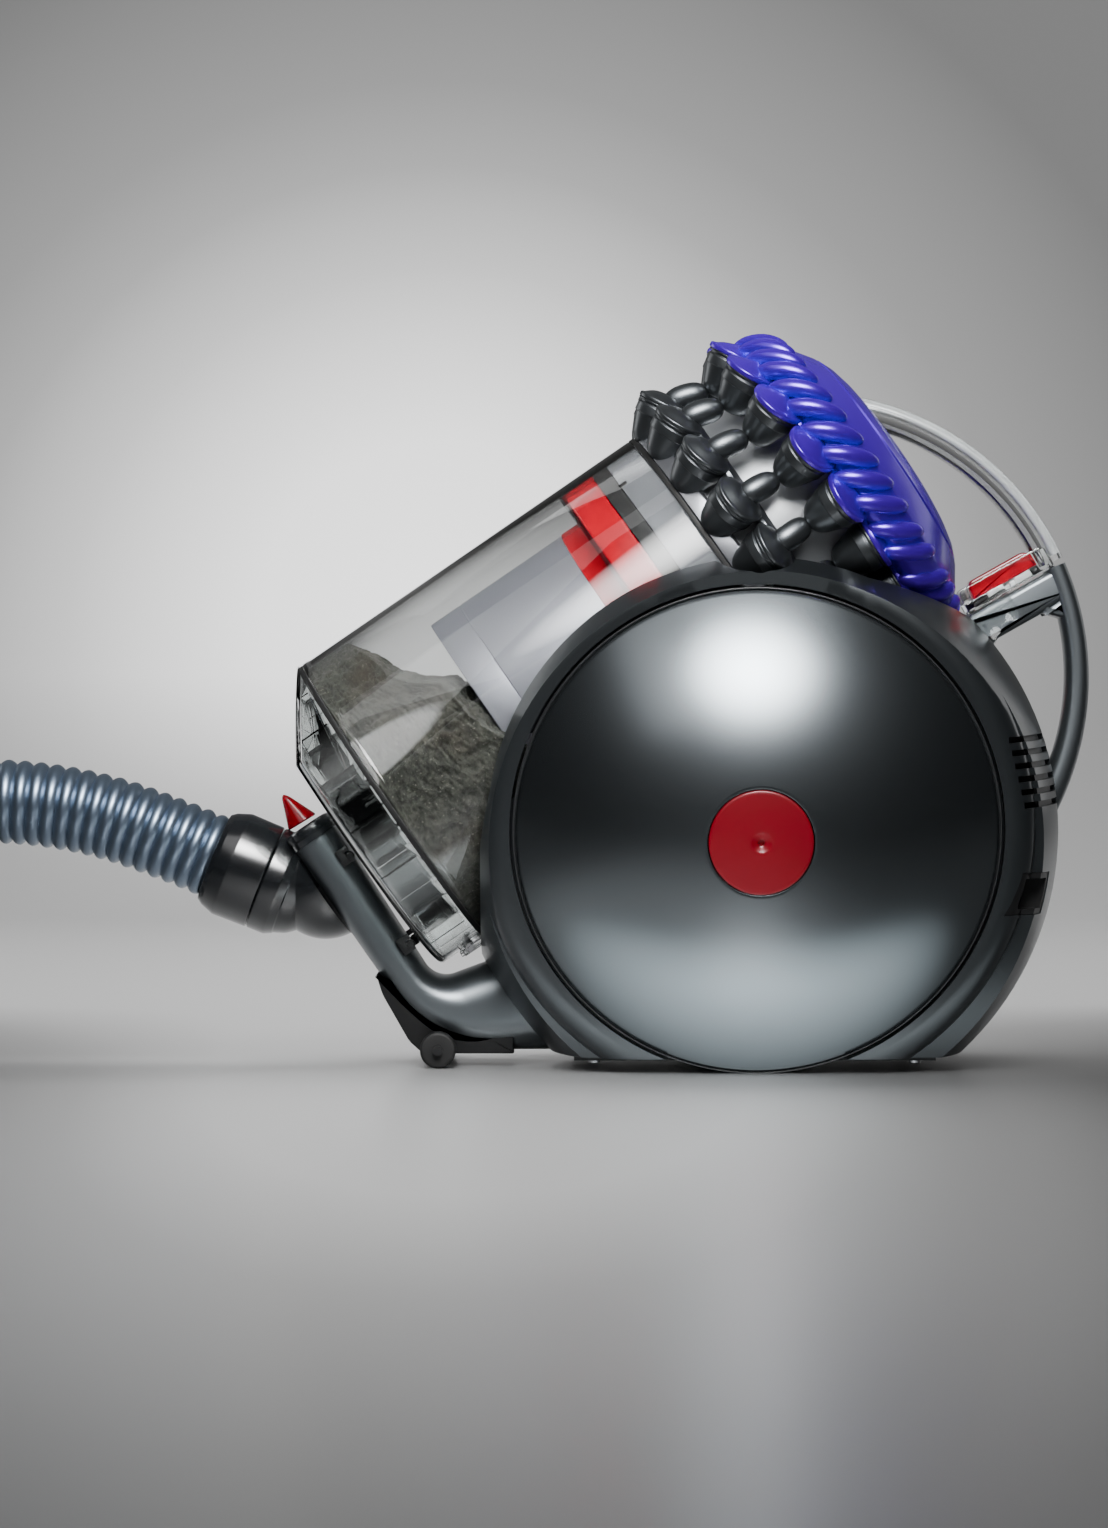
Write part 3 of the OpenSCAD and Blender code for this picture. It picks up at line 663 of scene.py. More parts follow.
# ---------------------------------------------------------------- the hose and its ends
@dataclass
class Hose:
    """The corrugated hose and the wand cuff and wand handle on its far end."""

    radius: float = 21.5
    pitch: float = 7.6
    depth: float = 2.3
    steps_per_rib: int = 8
    wand_end: Triple = (-410, 232, 25)
    route: tuple[Triple, ...] = (
        (-0.204, 0, 0.0985), (-0.217, 0, 0.1037), (-0.240, 0, 0.113), (-0.270, 0, 0.1235),
        (-0.300, 0, 0.130), (-0.330, 0, 0.1325), (-0.360, 0, 0.130), (-0.392, 0.001, 0.122),
        (-0.424, 0.003, 0.108), (-0.456, 0.006, 0.089), (-0.488, 0.009, 0.067),
        (-0.522, 0.012, 0.045), (-0.560, 0.015, 0.029), (-0.592, 0.018, 0.022),
        (-0.622, 0.020, 0.0216), (-0.7031, 0.0361, 0.0216), (-0.7719, 0.0821, 0.0216),
        (-0.8179, 0.1509, 0.0216), (-0.834, 0.232, 0.0216), (-0.8179, 0.3131, 0.0216),
        (-0.7719, 0.3819, 0.0216), (-0.7031, 0.4279, 0.0216), (-0.622, 0.444, 0.0216),
        (-0.5409, 0.4279, 0.0216), (-0.4721, 0.3819, 0.022), (-0.4261, 0.3131, 0.0235),
        (-0.412, 0.262, 0.025), (-0.410, 0.242, 0.025), (-0.410, 0.232, 0.025))

    def build(self) -> None:
        """The hose's radius is R - d * (1 - |sin(pi u)|^0.8), with u counting ribs along it.
        """
        path = smooth_path(np.array(self.route) * 1000, self.pitch / self.steps_per_rib)
        run = np.r_[0, np.cumsum(np.linalg.norm(np.diff(path, axis=0), axis=1))]
        u = run / self.pitch
        r = self.radius - self.depth * (1 - np.abs(np.sin(math.pi * u)) ** 0.8)
        circle = superellipse(1, 1, 2, 36)
        hose = skin("hose", sweep(path, r[:, None, None] * circle[None]),
                          Finishes.HOSE, Body.MACHINE, "hose_blue_grey", 60)
        place = Place(self.wand_end, SIDE.x, SIDE.y, SIDE.z)
        cuff = skin("wand_cuff", lathe(fillet(
            [(0.01, 0.1), (22, 0.1), (24, 5), (24, 14), (23.2, 15), (24, 16), (24, 38),
             (21, 44), (0.01, 44)], [0, 1, 2, 0.4, 0.4, 0.4, 2, 1, 0], 3)).moved(place),
            Finishes.ELBOW, Body.MACHINE, "elbow_grey")
        grip = fillet([(-62, 60), (-2, 60), (-2, 73), (-48, 73), (-48, 135), (-2, 135),
                       (-2, 148), (-62, 148)], [12, 1, 1, 8, 8, 1, 1, 12], 6)
        handle = lathe(fillet([(19, 44.1), (19, 170.1), (16, 170.1), (16, 130), (14, 130),
                               (14, 50), (17, 44.1)], [2, 1.5, 1, 0, 0, 0, 0], 3)) \
            + slab(grip, -9, 9, 4, 4).moved(SIDE)
        wand = skin("wand_handle", handle.moved(place), Finishes.DUCT, Body.MACHINE, "elbow_grey")


@dataclass
class Elbow:
    """The ball elbow on the duct and the cuff that turns on it."""

    ball: Triple = (-162, 0, 90)
    ball_r: float = 27.4
    r: float = 27.0
    bin_side: float = -54.5

    def build(self) -> None:
        """Builds the elbow's ball and neck, and the turning cuff.

        The ball is cut flat where it would pass into the duct, at bin_side along the bin's axis.
        """
        t = np.radians(np.linspace(-89.9, 89.9, 60))
        ball = lathe(np.r_[np.c_[self.ball_r * np.cos(t), self.ball_r * np.sin(t)],
                           [[0.01, self.ball_r], [0.01, -self.ball_r]]], 96)
        ball.points += np.asarray(self.ball)
        along = np.array(BIN.z)
        depth = (ball.points - np.array(BIN.origin)) @ along - self.bin_side
        ball.points -= np.maximum(depth, 0)[:, None] * along
        neck = lathe(fillet([(17, -27), (22.4, -20), (24.6, -13.5), (25.2, -13.0), (27, -9),
                             (self.r, -0.5), (self.r - 0.6, 0.2), (17, 0.2)],
                            [0, 2, 0.3, 0.3, 0.4, 0.3, 0.2, 0], 3), 128)
        skin("hose_elbow", ball + neck.moved(CUFF), Finishes.ELBOW, Body.MACHINE, "elbow_grey", 26)
        cuff = lathe(fillet([(21.7, 0.7), (26.6, 0.7), (27.1, 1.2), (27.4, 18.6), (24.9, 25.6),
                             (24.6, 26.0), (22.9, 28.4), (21.7, 28.4)],
                            [0, 0.2, 0.2, 0.5, 0.3, 0.2, 0.5, 0.2], 3), 128)
        skin("hose_cuff", cuff.moved(CUFF), Finishes.ELBOW, Body.CUFF, "elbow_grey", 26)


# ---------------------------------------------------------------- the duct and the front
@dataclass
class Duct:
    """The curved inlet duct, its collar, clips, latch, chin plate and rollers."""

    half: float = 30.0
    power: float = 2.9

    def stations(self) -> tuple[Array, Array]:
        """The duct's outer and inner side lines, matched point for point."""
        straight = np.linspace(0, 1, 26)[:-1, None]
        outer = np.vstack([
            (1 - straight) * [-176.9, 106.5] + straight * [-127.4, 35.6],
            arc((-73, 73), 66, 214.5, 270, 26), [[-60, 7], [-45, 7]]])
        inner = np.vstack([
            (1 - straight) * [-156.7, 120.3] + straight * [-111.3, 49.9],
            arc((-101, 57), 12.5, 214.5, 288, 26), [[-84, 50], [-62, 58]]])
        return outer, inner

    def build(self) -> None:
        """Builds every piece of the front.

        A ring of the duct is centre + a * d * c(t) + b * Y * s(t), with d from its inner line
        to its outer one, a half their distance, b the half width, and c, s a superellipse.
        The collar is the same loft between lines laid along the bin's axis, in steps across it.
        """
        outer, inner = self.stations()
        self.loft("inlet_duct_skin", outer, inner, self.half, Finishes.DUCT, "duct_grey",
                  ["inlet_duct"])
        across, along = np.array([0.5664, -0.8241]), np.array([0.8241, 0.5664])
        foot = np.array([-129, 132.9])
        stops = np.array([-14.1, -13.6, -12.6, -9.6, -9.3, -8.9, -8.6, -5.6, -5.4, -5.4])
        grow = np.array([-1.6, 0.1, 0.9, 0.9, 0.3, 0.3, 0.9, 0.9, 0.4, -2.0])
        out = foot + (-54.4 - grow)[:, None] * along + stops[:, None] * across
        inn = foot + (-30 + grow)[:, None] * along + stops[:, None] * across
        self.loft("duct_collar_skin", out, inn, self.half + 0.5 + grow, Finishes.ELBOW,
                  "elbow_grey", ["duct_collar"])
        self.clips()
        self.latch()
        self.chin()
        roller = lathe(fillet([(2.5, -6), (9, -6), (9, 6), (2.5, 6)], [0, 1.6, 1.6, 0], 4), 48)
        pair = joined([Shape(SIDE(roller.points) + [-104, y, 9], roller.faces)
                       for y in (-38.4, 38.4)])
        skin("front_rollers", pair, Finishes.RUBBER, Body.ROLLERS, "tread")
        wear("roller_shaft", Finishes.BLACK)

    def loft(self, name: str, outer: Array, inner: Array, half: Any, finish: Finish, slot: str,
             stands_for: list[str]) -> None:
        """A closed loft between two side lines in the middle plane."""
        mid, d = (outer + inner) / 2, (outer - inner) / 2
        ring = superellipse(1, 1, self.power, 72)
        half = np.broadcast_to(np.asarray(half, float), (len(mid),))
        flat = mid[:, None] + ring[None, :, :1] * d[:, None]
        y = ring[None, :, 1] * half[:, None]
        points = np.stack([flat[..., 0], y, flat[..., 1]], -1)
        make_piece(name, grid(points, False, True, caps=True), finish, Body.MACHINE, slot,
                   stands_for, 40)

    def clips(self) -> None:
        """The two small clips on each side, each a block with a notch and a round stud."""
        parts = []
        outline = fillet([(-4.4, -3.4), (4.4, -3.4), (4.4, 3.4), (1.2, 3.4), (1.2, 0.6),
                          (-1.6, 0.6), (-1.6, 3.4), (-4.4, 3.4)], 0.5, 3)
        stud = lathe(fillet([(0.01, 0), (2.3, 0), (2.3, 2.6), (1.6, 3.2), (0.01, 3.2)],
                            [0, 0, 0.4, 0.3, 0], 3), 24)
        for side in (-1, 1):
            for down in (10, 64):
                place = Place(tuple(BIN(np.array([[down, side * 27.2, -33.5]]))[0]),
                              BIN.x, BIN.z, (0, side, 0))
                block = slab(outline, 0, 4.4, 0.4, 2)
                pin = Shape(stud.points + [1.2, 2.2, 1.6], stud.faces)
                parts += [block.moved(place), pin.moved(place)]
        skin("duct_clips", joined(parts), Finishes.BLACK, Body.MACHINE, "black_plastic")

    def latch(self) -> None:
        """The red thumb latch: ellipses between a left and a right edge, closing at the tip."""
        t = np.r_[0, np.linspace(0.04, 1, 22)]
        curve = np.sqrt(1 - np.clip((t - 0.86) / 0.14, 0, 1) ** 2)
        left = (1 - t[:, None]) * [-181.0, 117.6] + t[:, None] * [-184.9, 135.8]
        right = (1 - t[:, None]) * [-166.9, 126.2] + t[:, None] * [-182.4, 136.3]
        mid, d = (left + right) / 2, (right - left) / 2
        squeeze = np.where(t == 0, 0.9, 1) * np.maximum(curve, 0.04)
        ring = superellipse(1, 1, 2.3, 40)
        flat = mid[:, None] + ring[None, :, :1] * d[:, None] * squeeze[:, None, None]
        y = ring[None, :, 1] * ((1 - t) * 8.6 + t * 2.2)[:, None] * squeeze[:, None]
        skin("duct_latch",
                   grid(np.stack([flat[..., 0], y, flat[..., 1]], -1), False, True, caps=True),
                   Finishes.RED, Body.LATCH, "red_gloss", 50)

    def chin(self) -> None:
        """The chin plate under the bend, with the lip that its lower edge is turned out to."""
        outline = fillet([(-135.5, 46), (-132.4, 36), (-119, 12.6), (-112, 6.2), (-66, 6.2),
                          (-66, 20), (-84, 12), (-104, 16), (-120, 30)],
                         [0.5, 3, 2, 3, 1, 2, 10, 12, 5], 4)
        skin("chin_plate", slab(outline, -27, 27, 1.2, 3).moved(SIDE),
                   Finishes.BLACK, Body.MACHINE, "black_plastic")


# ---------------------------------------------------------------- the wheels
@dataclass
class Wheel:
    """One domed wheel: its shell, rim bead and red cap; its hub stays as packed."""

    side: int
    body: Body
    label: str
    sphere: float = (120 ** 2 + 47 ** 2) / (2 * 47)
    height: float = 47.0

    def rise(self, r: Array) -> Array:
        """Height of the dome over its rim at radius r: h - S + sqrt(S^2 - r^2)."""
        return self.height - self.sphere + np.sqrt(self.sphere ** 2 - np.asarray(r) ** 2)

    def build(self) -> None:
        """Builds the wheel's visible pieces."""
        place = wheel_place(self.side)
        r = np.linspace(26.2, 117.9, 64)
        edge = np.array([[118.25, 1.3], [118.45, 0.9], [118.45, -2.5], [114, -2.5]])
        inner = np.linspace(113, 26.2, 30)
        dome = np.vstack([[[25.75, self.rise(25.75) - 2.6], [25.75, self.rise(25.75) - 0.55],
                           [25.85, self.rise(25.85) - 0.2]],
                          np.c_[r, self.rise(r)], edge,
                          np.c_[inner, self.rise(inner) - 2.8]])
        make_piece(f"{self.label}_dome_skin", lathe(dome, 192).moved(place), Finishes.WHEEL,
                   self.body, "wheel_shell", [f"{self.label}_wheel_dome"], 35)
        bead = fillet([(112, -6), (119.2, -6), (120, -5), (120, 0.1), (119.6, 0.75),
                       (119.15, 0.5), (118.9, -1.0), (112, -2.7)],
                      [0, 0.6, 0.6, 0.4, 0.3, 0.3, 0.2, 0], 3)
        make_piece(f"{self.label}_tyre_skin", lathe(bead, 192).moved(place), Finishes.RIM,
                   self.body, "tread", [f"{self.label}_wheel_tyre"], 40)
        cap_r = np.linspace(5.0, 24.6, 16)
        cap = np.vstack([
            [[0.01, self.height - 3.2], [1.5, self.height - 3.0], [1.65, self.height - 0.9],
             [2.2, self.height - 0.55], [3.4, self.height - 0.3], [4.4, self.height + 0.25]],
            np.c_[cap_r, self.rise(cap_r) + 0.6],
            [[25.0, self.rise(25.0) + 0.42], [25.25, self.rise(25.2) + 0.05],
             [25.3, self.rise(25.3) - 2.6], [0.01, self.height - 5.5]]])
        make_piece(f"{self.label}_cap_skin", lathe(cap, 96).moved(place), Finishes.HUB_RED,
                   self.body, "red_gloss", [f"{self.label}_hub_cap"], 40)
        wear(f"{self.label}_wheel_hub", Finishes.BLACK)


# ---------------------------------------------------------------- the bin
@dataclass
class Bin:
    """The clear bin, its door, what is fitted inside it and the dust that it holds."""

    r: float = 82.0
    wall: float = 2.4
    length: float = 203.0
    door: float = 26.0
    shroud_r: float = 62.0
    slope: float = 58.4

    def build(self) -> None:
        """Builds the bin from its door up to its silver head."""
        self.tube()
        self.base_door()
        self.floor()
        self.dust()
        self.shroud()
        self.head()

    def turned(self, name: str, profile: Array, finish: Finish, slot: str,
               stands_for: Sequence[str] = (), steps: int = 160, crease: float = 32) -> None:
        """A piece turned about the bin's axis."""
        make_piece(name, lathe(profile, steps).moved(BIN), finish, Body.BIN, slot, stands_for,
                   crease)

    def tube(self) -> None:
        """The clear tube, with a thickened foot and a bevelled mouth."""
        inner = self.r - self.wall
        self.turned("bin_tube_skin", fillet(
            [(inner, 2.4), (self.r + 0.4, 2.4), (self.r + 0.4, 5.4), (self.r, 6.4),
             (self.r, self.length - 0.6), (self.r - 0.6, self.length - 0.1),
             (inner, self.length - 0.1)], [0.3, 0.3, 0.4, 0.6, 0.3, 0.2, 0.3], 2),
            Finishes.CLEAR, "clear", ["bin_tube"])

    def slope_s(self, x: Array) -> Array:
        """How low the door may reach at a point x across the bin: the prow's plane."""
        return -(x + self.r + 0.6) / math.tan(math.radians(self.slope))

    def base_door(self) -> None:
        """The clear door: an outer and an inner skin, both cut back by the prow's plane.

        A point at angle t and profile step v stands at radius r(v) and at a depth that is
        v's share of the door's depth there, which is the lesser of the full depth and the
        prow's plane, less the wall's gap for the inner skin.
        """
        t = np.linspace(0, TAU, 180, endpoint=False)[None, :]
        skins = []
        q = np.radians(np.linspace(0, 90, 7))
        for r0, deep, round_r, gap in ((self.r + 1, self.door, 2.5, 0),
                                       (self.r - 1.6, self.door - 2.6, 1.4, 3.2)):
            r = np.r_[np.full(6, r0), r0 - round_r * (1 - np.cos(q)),
                      np.linspace(r0 - round_r - 3, 0.01, 26)][:, None]
            share = np.r_[np.linspace(0, 0.86, 6),
                          1 - (round_r / deep) * (1 - np.sin(q)), np.ones(26)][:, None]
            x, y = -r * np.cos(t), r * np.sin(t)
            plane = np.minimum(deep, np.maximum(-self.slope_s(x) - gap, 0.02))
            skins.append(np.stack([x, y, -share * plane], -1))
        rows = np.concatenate([skins[0][::-1], skins[1]])
        shell = grid(rows, False, True)
        skin("base_door", shell.moved(BIN), Finishes.DOOR, Body.BIN, "clear_floor", 30)
        ribs = []
        for angle in np.radians(np.arange(-172, 180, 20)):
            reach = np.array([[16, -12.0], [78.8, -2.0], [78.8, -self.door + 3.4],
                              [16, -self.door + 3.4]])
            rib = slab(reach, -0.55, 0.55, 0.15, 1)
            place = Place((0, 0, 0), (-math.cos(angle), math.sin(angle), 0), (0, 0, 1),
                          (math.sin(angle), math.cos(angle), 0))
            ribs.append(rib.moved(place))
        rings = [lathe(np.array([(r - 0.7, -3), (r + 0.7, -3), (r + 0.7, -self.door + 3),
                                 (r - 0.7, -self.door + 3)]), 96) for r in (15.5, 44, 66)]
        web = joined(ribs + rings)
        room = -np.maximum(-self.slope_s(web.points[:, 0]) - 3.6, 0.4)
        web.points[:, 2] = np.maximum(web.points[:, 2], room)
        make_piece("door_ribs", web.moved(BIN), Finishes.CLEAR, Body.BIN, "clear_floor")
        bars = [rounded_box((3.4, 5, 13), (self.r + 2.2, y, -5.5), 0.8, 0.4) for y in
                (-28, -14, 14, 28)]
        bars += [rounded_box((3.0, 56, 3.4), (self.r + 1.9, 0, -12), 0.8, 0.4)]
        make_piece("door_hinge_bars", joined(bars).moved(BIN), Finishes.CLEAR, Body.BIN,
                   "clear_floor")
        wear("hinge_pin", Finishes.STEEL)
        wear("base_catch", Finishes.TINTED)

    def floor(self) -> None:
        """The clear floor plate with its ring grooves, and the dark seal round it."""
        r = self.r - self.wall - 0.5
        self.turned("bin_floor_skin", fillet(
            [(0.01, 0.3), (r - 12, 0.3), (r - 11, 1.2), (r, 1.2), (r, 2.3), (r - 5, 2.3),
             (r - 6, 3.2), (r - 8, 3.2), (r - 9, 2.3), (0.01, 2.3)], 0.3, 2),
            Finishes.DOOR, "clear_floor", ["bin_floor"])
        self.turned("base_seal_skin", fillet(
            [(r + 0.3, -0.6), (self.r - 0.2, -0.6), (self.r + 0.2, 0.6), (self.r + 0.2, 2.0),
             (r + 0.3, 2.2)], 0.4, 3), Finishes.RUBBER, "seal_rubber", ["base_seal"])

    def heap_top(self, up: Array, y: Array) -> Array:
        """How far along the bin the dust reaches, by height up the bin and place across."""
        line = np.interp(up, [-80, -60, -30, -2, 12, 24, 33, 40, 46, 51, 62, 72, 80],
                         [112, 104, 88, 71, 66, 64, 61.5, 51.5, 45, 40.5, 37, 31, 25])
        return line - 8 * np.abs(y / 80) ** 2

    def dust(self) -> None:
        """The dust: a heap with a lumpy side against the tube and a fluffy top.

        The side stands at radius R - h(t, s), the top at s = line(up) + h(x, y), where h is
        layered noise; pushing in only, the side never leaves the tube.
        """
        cols, reach = 420, self.r - self.wall - 0.4
        t = np.linspace(0, TAU, cols, endpoint=False)[None, :]
        v = np.linspace(0, 1, 130)[:, None]
        up, y = reach * np.cos(t), reach * np.sin(t)
        top = self.heap_top(up, y)
        s = 3.4 + v * (top - 3.4)
        side = np.stack([np.broadcast_to(-up, s.shape), np.broadcast_to(y, s.shape), s], -1)
        flat = side.reshape(-1, 3)
        lumps = fbm(flat * 0.15, 3, 2) * 2.4 + np.abs(fbm(flat * 0.42, 5, 3)) * 4.2 - 1.4
        push = np.maximum(lumps + 2.2, 0.1).reshape(s.shape)
        push *= np.minimum(1, (1 - np.abs(2 * v - 1) ** 12) + 0.3)
        k = (reach - push) / reach
        side[..., 0] *= k
        side[..., 1] *= k
        w = np.linspace(1, 0.02, 70)[:, None]
        tx, ty = -up * w * k[-1:], y * w * k[-1:]
        ts = self.heap_top(-tx, ty)
        cap = np.stack([tx, ty, ts], -1)
        flat = cap.reshape(-1, 3)
        fluff = fbm(flat * 0.2, 11, 2) * 3.8 - np.abs(fbm(flat * 0.42, 12, 3)) * 5.0 + 2
        cap[..., 2] += fluff.reshape(ts.shape) * np.minimum(1, (1 - w) * 6 + 0.35)
        keep = np.hypot(cap[..., 0], cap[..., 1]) < self.shroud_r + 3
        cap[..., 2] = np.where(keep, np.minimum(cap[..., 2], 66.0 + 2 * (1 - w)), cap[..., 2])
        base = np.stack([-up * 0.2, y * 0.2, np.full_like(up, 3.4)], -1)
        rows = np.concatenate([base, side, cap])
        make_piece("house_dust", grid(rows, False, True, caps=True).moved(BIN), Finishes.DUST,
                   Body.BIN, crease=180)

    def shroud(self) -> None:
        """The silver shroud with its seam and lip, the red collar and the black seal."""
        r = self.shroud_r
        self.turned("shroud_skin", fillet(
            [(r - 1.6, 67.4), (r - 0.4, 67), (r, 67.4), (r, 83.4), (r - 0.5, 83.9),
             (r, 84.4), (r, 143), (r - 1.6, 143), (r - 1.6, 72.6), (0.01, 72.6), (0.01, 71),
             (r - 1.6, 71)], 0.25, 2), Finishes.SILVER, "silver", ["shroud"])
        self.turned("red_collar_skin", fillet(
            [(r - 3, 143.1), (r + 0.6, 143.1), (r + 0.6, 157.4), (r + 1.4, 158),
             (self.r - 4.2, 158), (self.r - 3.2, 159), (self.r - 3.2, 174.6),
             (self.r - 4, 175.6), (r - 3, 175.6)],
            [0.3, 0.5, 0.3, 0.4, 0.8, 0.8, 0.8, 0.6, 0.3], 4), Finishes.RED, "red_gloss",
            ["red_collar"])
        self.turned("collar_bezel", fillet(
            [(r + 3, 156.0), (self.r - 2.9, 156.0), (self.r - 2.7, 157.8), (r + 3, 157.8)],
            0.3, 2), Finishes.TINTED, "clear")
        self.turned("seal_band_skin", fillet(
            [(r - 3, 176), (self.r - 2.9, 176), (self.r - 2.7, 177), (self.r - 2.7, 183.6),
             (self.r - 3.0, 184.4), (r - 3, 184.4)], 0.3, 2), Finishes.RUBBER, "seal_rubber",
            ["seal_band"])
        tabs = [rounded_box((4.2, 3.0, 4.6), (-62, side * 47.6, 186.2), 0.6, 0.4)
                for side in (-1, 1)]
        make_piece("seal_tabs", joined(tabs).moved(BIN), Finishes.BLACK, Body.BIN,
                   "seal_rubber")

    def head(self) -> None:
        """The silver head inside the mouth and above it, and the dark seam between."""
        r = self.r
        self.turned("bin_head_skin", fillet(
            [(r - 6, 184.6), (r - 3.0, 184.6), (r - 2.8, 185.2), (r - 2.8, 202.9),
             (r - 1.6, 203.2), (r - 1.6, 205.8), (r - 0.2, 206.2), (r - 0.6, 214.6),
             (r - 2.2, 216), (r - 6, 216)],
            [0.2, 0.2, 0.3, 0.2, 0.2, 0.2, 0.4, 0.8, 0.8, 0.2], 3), Finishes.HEAD, "silver",
            ["bin_head"])
        self.turned("seam_ring_skin", fillet(
            [(r - 2.6, 203.2), (r + 0.2, 203.2), (r + 0.2, 205.6), (r - 2.6, 205.8)], 0.3, 2),
            Finishes.RUBBER, "seal_rubber", ["seam_ring"])


# ---------------------------------------------------------------- the cyclones
@dataclass
class Cyclones:
    """Two tiers of small cyclones round a core, the lower lids and the violet cover."""

    turns: tuple[float, ...] = (14, 34, 54, 74, 93, 114, 138, 162)
    rings: tuple[float, ...] = (83, 83, 83, 83, 80, 73, 71, 69)
    leans: tuple[float, ...] = (30, 30, 30, 30, 22, 8, 4, 0)
    lower: float = 217.5
    upper: float = 260.5
    r: float = 13.2
    length: float = 22.0

    def place(self, side: int, i: int, s: float) -> Place:
        """The frame of one cyclone: on its ring, leaning outwards, z towards its lid."""
        lean, turn = math.radians(self.leans[i]), math.radians(180 + side * self.turns[i])
        radial = np.array([math.cos(turn), math.sin(turn), 0])
        axes = (math.cos(lean) * radial - math.sin(lean) * np.array([0, 0, 1]),
                np.array([-math.sin(turn), math.cos(turn), 0]),
                math.sin(lean) * radial + math.cos(lean) * np.array([0, 0, 1]))
        origin = self.rings[i] * radial + [0, 0, s]
        x, y, z = (tuple(BIN(a[None])[0] - np.array(BIN.origin)) for a in axes)
        return Place(tuple(BIN(origin[None])[0]), x, y, z)

    def every(self, shape: Shape, s: float) -> Shape:
        """The shape set at every cyclone of the tier at s."""
        return joined([shape.moved(self.place(side, i, s)) for side in (-1, 1)
                       for i in range(len(self.turns))])

    def ring_point(self, angle: Array, radius: Array, s: Array) -> Array:
        """Points in the bin's frame at an angle from its top, a radius and a distance s."""
        return np.stack([-radius * np.cos(angle), radius * np.sin(angle), s + 0 * angle], -1)

    def ring_spot(self, angle: float, radius: float, s: float) -> Triple:
        """One point in the bin's frame."""
        return tuple(self.ring_point(np.array(angle), np.array(radius), np.array(s)))

    def scallop(self, a: Array, turns: Sequence[float]) -> Array:
        """1 at a cyclone's angle, falling to 0 ten degrees off it: (cos(pi d / 10) + 1) / 2."""
        near = np.min(np.abs(a[:, None] - np.array(turns)[None]), 1)
        return np.cos(np.clip(near / 10, 0, 1) * math.pi) * 0.5 + 0.5

    def build(self) -> None:
        """Builds both tiers, the core, the lids, the cover and the end cap."""
        h = self.length / 2
        cone = lathe(fillet(
            [(0.01, -h), (5.4, -h), (8.6, -h + 3.4), (12.0, 2.6), (12.35, 3.6), (12.75, 3.8),
             (12.95, h - 2.6), (12.3, h - 2.2), (12.3, h - 1.2), (13.5, h - 1.0),
             (13.5, h - 0.1), (0.01, h - 0.1)],
            [0, 3.4, 4, 0.6, 0.3, 0.3, 0.4, 0.3, 0.3, 0.3, 0.3, 0], 4), 44)
        skin("cyclones_lower", self.every(cone, self.lower), Finishes.CONE, Body.BIN,
                   "cyclone_grey", 40)
        skin("cyclones_upper", self.every(cone, self.upper), Finishes.CONE, Body.BIN,
                   "cyclone_grey", 40)
        self.core()
        self.lower_lids()
        self.cover()

    def core(self) -> None:
        """The glossy core between the tiers, waisted like a bell."""
        skin("cyclone_core", lathe(fillet(
            [(0.01, 207), (75.8, 207), (75.8, 216), (73.5, 226), (71, 240), (69, 252),
             (62, 272), (60, 290), (0.01, 290)], [0, 0.5, 3, 8, 8, 6, 6, 2, 0], 5), 128)
            .moved(BIN), Finishes.CORE, Body.BIN, "core_grey", 40)

    def finger(self, start: Triple, middle: Triple, end: Triple, thick: float,
               flat: float = 1.0) -> Shape:
        """A round-ended finger along a curve with one control point.

        Its radius is thick * (1 - |2u - 1|^6)^(1/3), so that both ends close round.
        """
        u = (1 - np.cos(np.linspace(0, math.pi, 20))) / 2
        p = ((1 - u) ** 2)[:, None] * np.array(start) + (2 * u * (1 - u))[:, None] \
            * np.array(middle) + (u ** 2)[:, None] * np.array(end)
        r = thick * np.maximum(1 - np.abs(2 * u - 1) ** 3.2, 0.0004) ** 0.5
        ring = superellipse(1, flat, 2, 20)
        across = np.cross(np.array(end) - np.array(start), np.array(middle) - np.array(start))
        return sweep(p, r[:, None, None] * ring[None], tuple(across))

    def lower_lids(self) -> None:
        """The lower lids: a rimmed disc, a shoulder and a bullet, and a strip that links them."""
        h = self.length / 2
        lid = lathe(fillet(
            [(0.01, h), (13.7, h), (13.9, h + 0.5), (13.9, h + 1.9), (13.3, h + 2.3),
             (12.4, h + 2.5), (7.5, h + 5.6), (0.01, h + 6.2)],
            [0, 0.3, 0.3, 0.4, 0.4, 0.6, 3, 0], 3), 44)
        parts = [self.every(lid, self.lower)]
        for side in (-1, 1):
            for turn, ring, lean in zip(self.turns, self.rings, self.leans):
                a, dip = math.radians(side * turn), math.radians(lean)
                r0 = ring + (h + 3) * math.sin(dip) - 5 * math.cos(dip)
                s0 = self.lower + (h + 3) * math.cos(dip) + 5 * math.sin(dip)
                parts.append(self.finger(*(self.ring_spot(a, r0 + r, s0 + s) for r, s in (
                    (2, -5), (2.5, 7), (-5, 17))), 6.6))
        angle = np.radians(np.linspace(-118, 118, 240))
        a = np.abs(np.degrees(angle))
        dip = self.scallop(a, self.turns[:6])
        edge = np.interp(a, self.turns[:6], self.rings[:6])
        r_out, r_in = edge + 1 + 5.5 * dip, edge - 13
        s_top = self.lower + 17.2 + 0 * a
        rows = [self.ring_point(angle, r_out, s_top - 4.4 - 1.2 * dip),
                self.ring_point(angle, r_out - 0.4, s_top - 2.6 - 1.2 * dip),
                self.ring_point(angle, r_out - 5, s_top + 0.2),
                self.ring_point(angle, r_in, s_top + 1.2),
                self.ring_point(angle, r_in, s_top - 3)]
        parts.append(grid(np.stack(rows, 1), False, True, caps=True))
        skin("lids_lower", parts[0] + joined(parts[1:]).moved(BIN), Finishes.CONE,
                   Body.BIN, "cyclone_grey", 40)

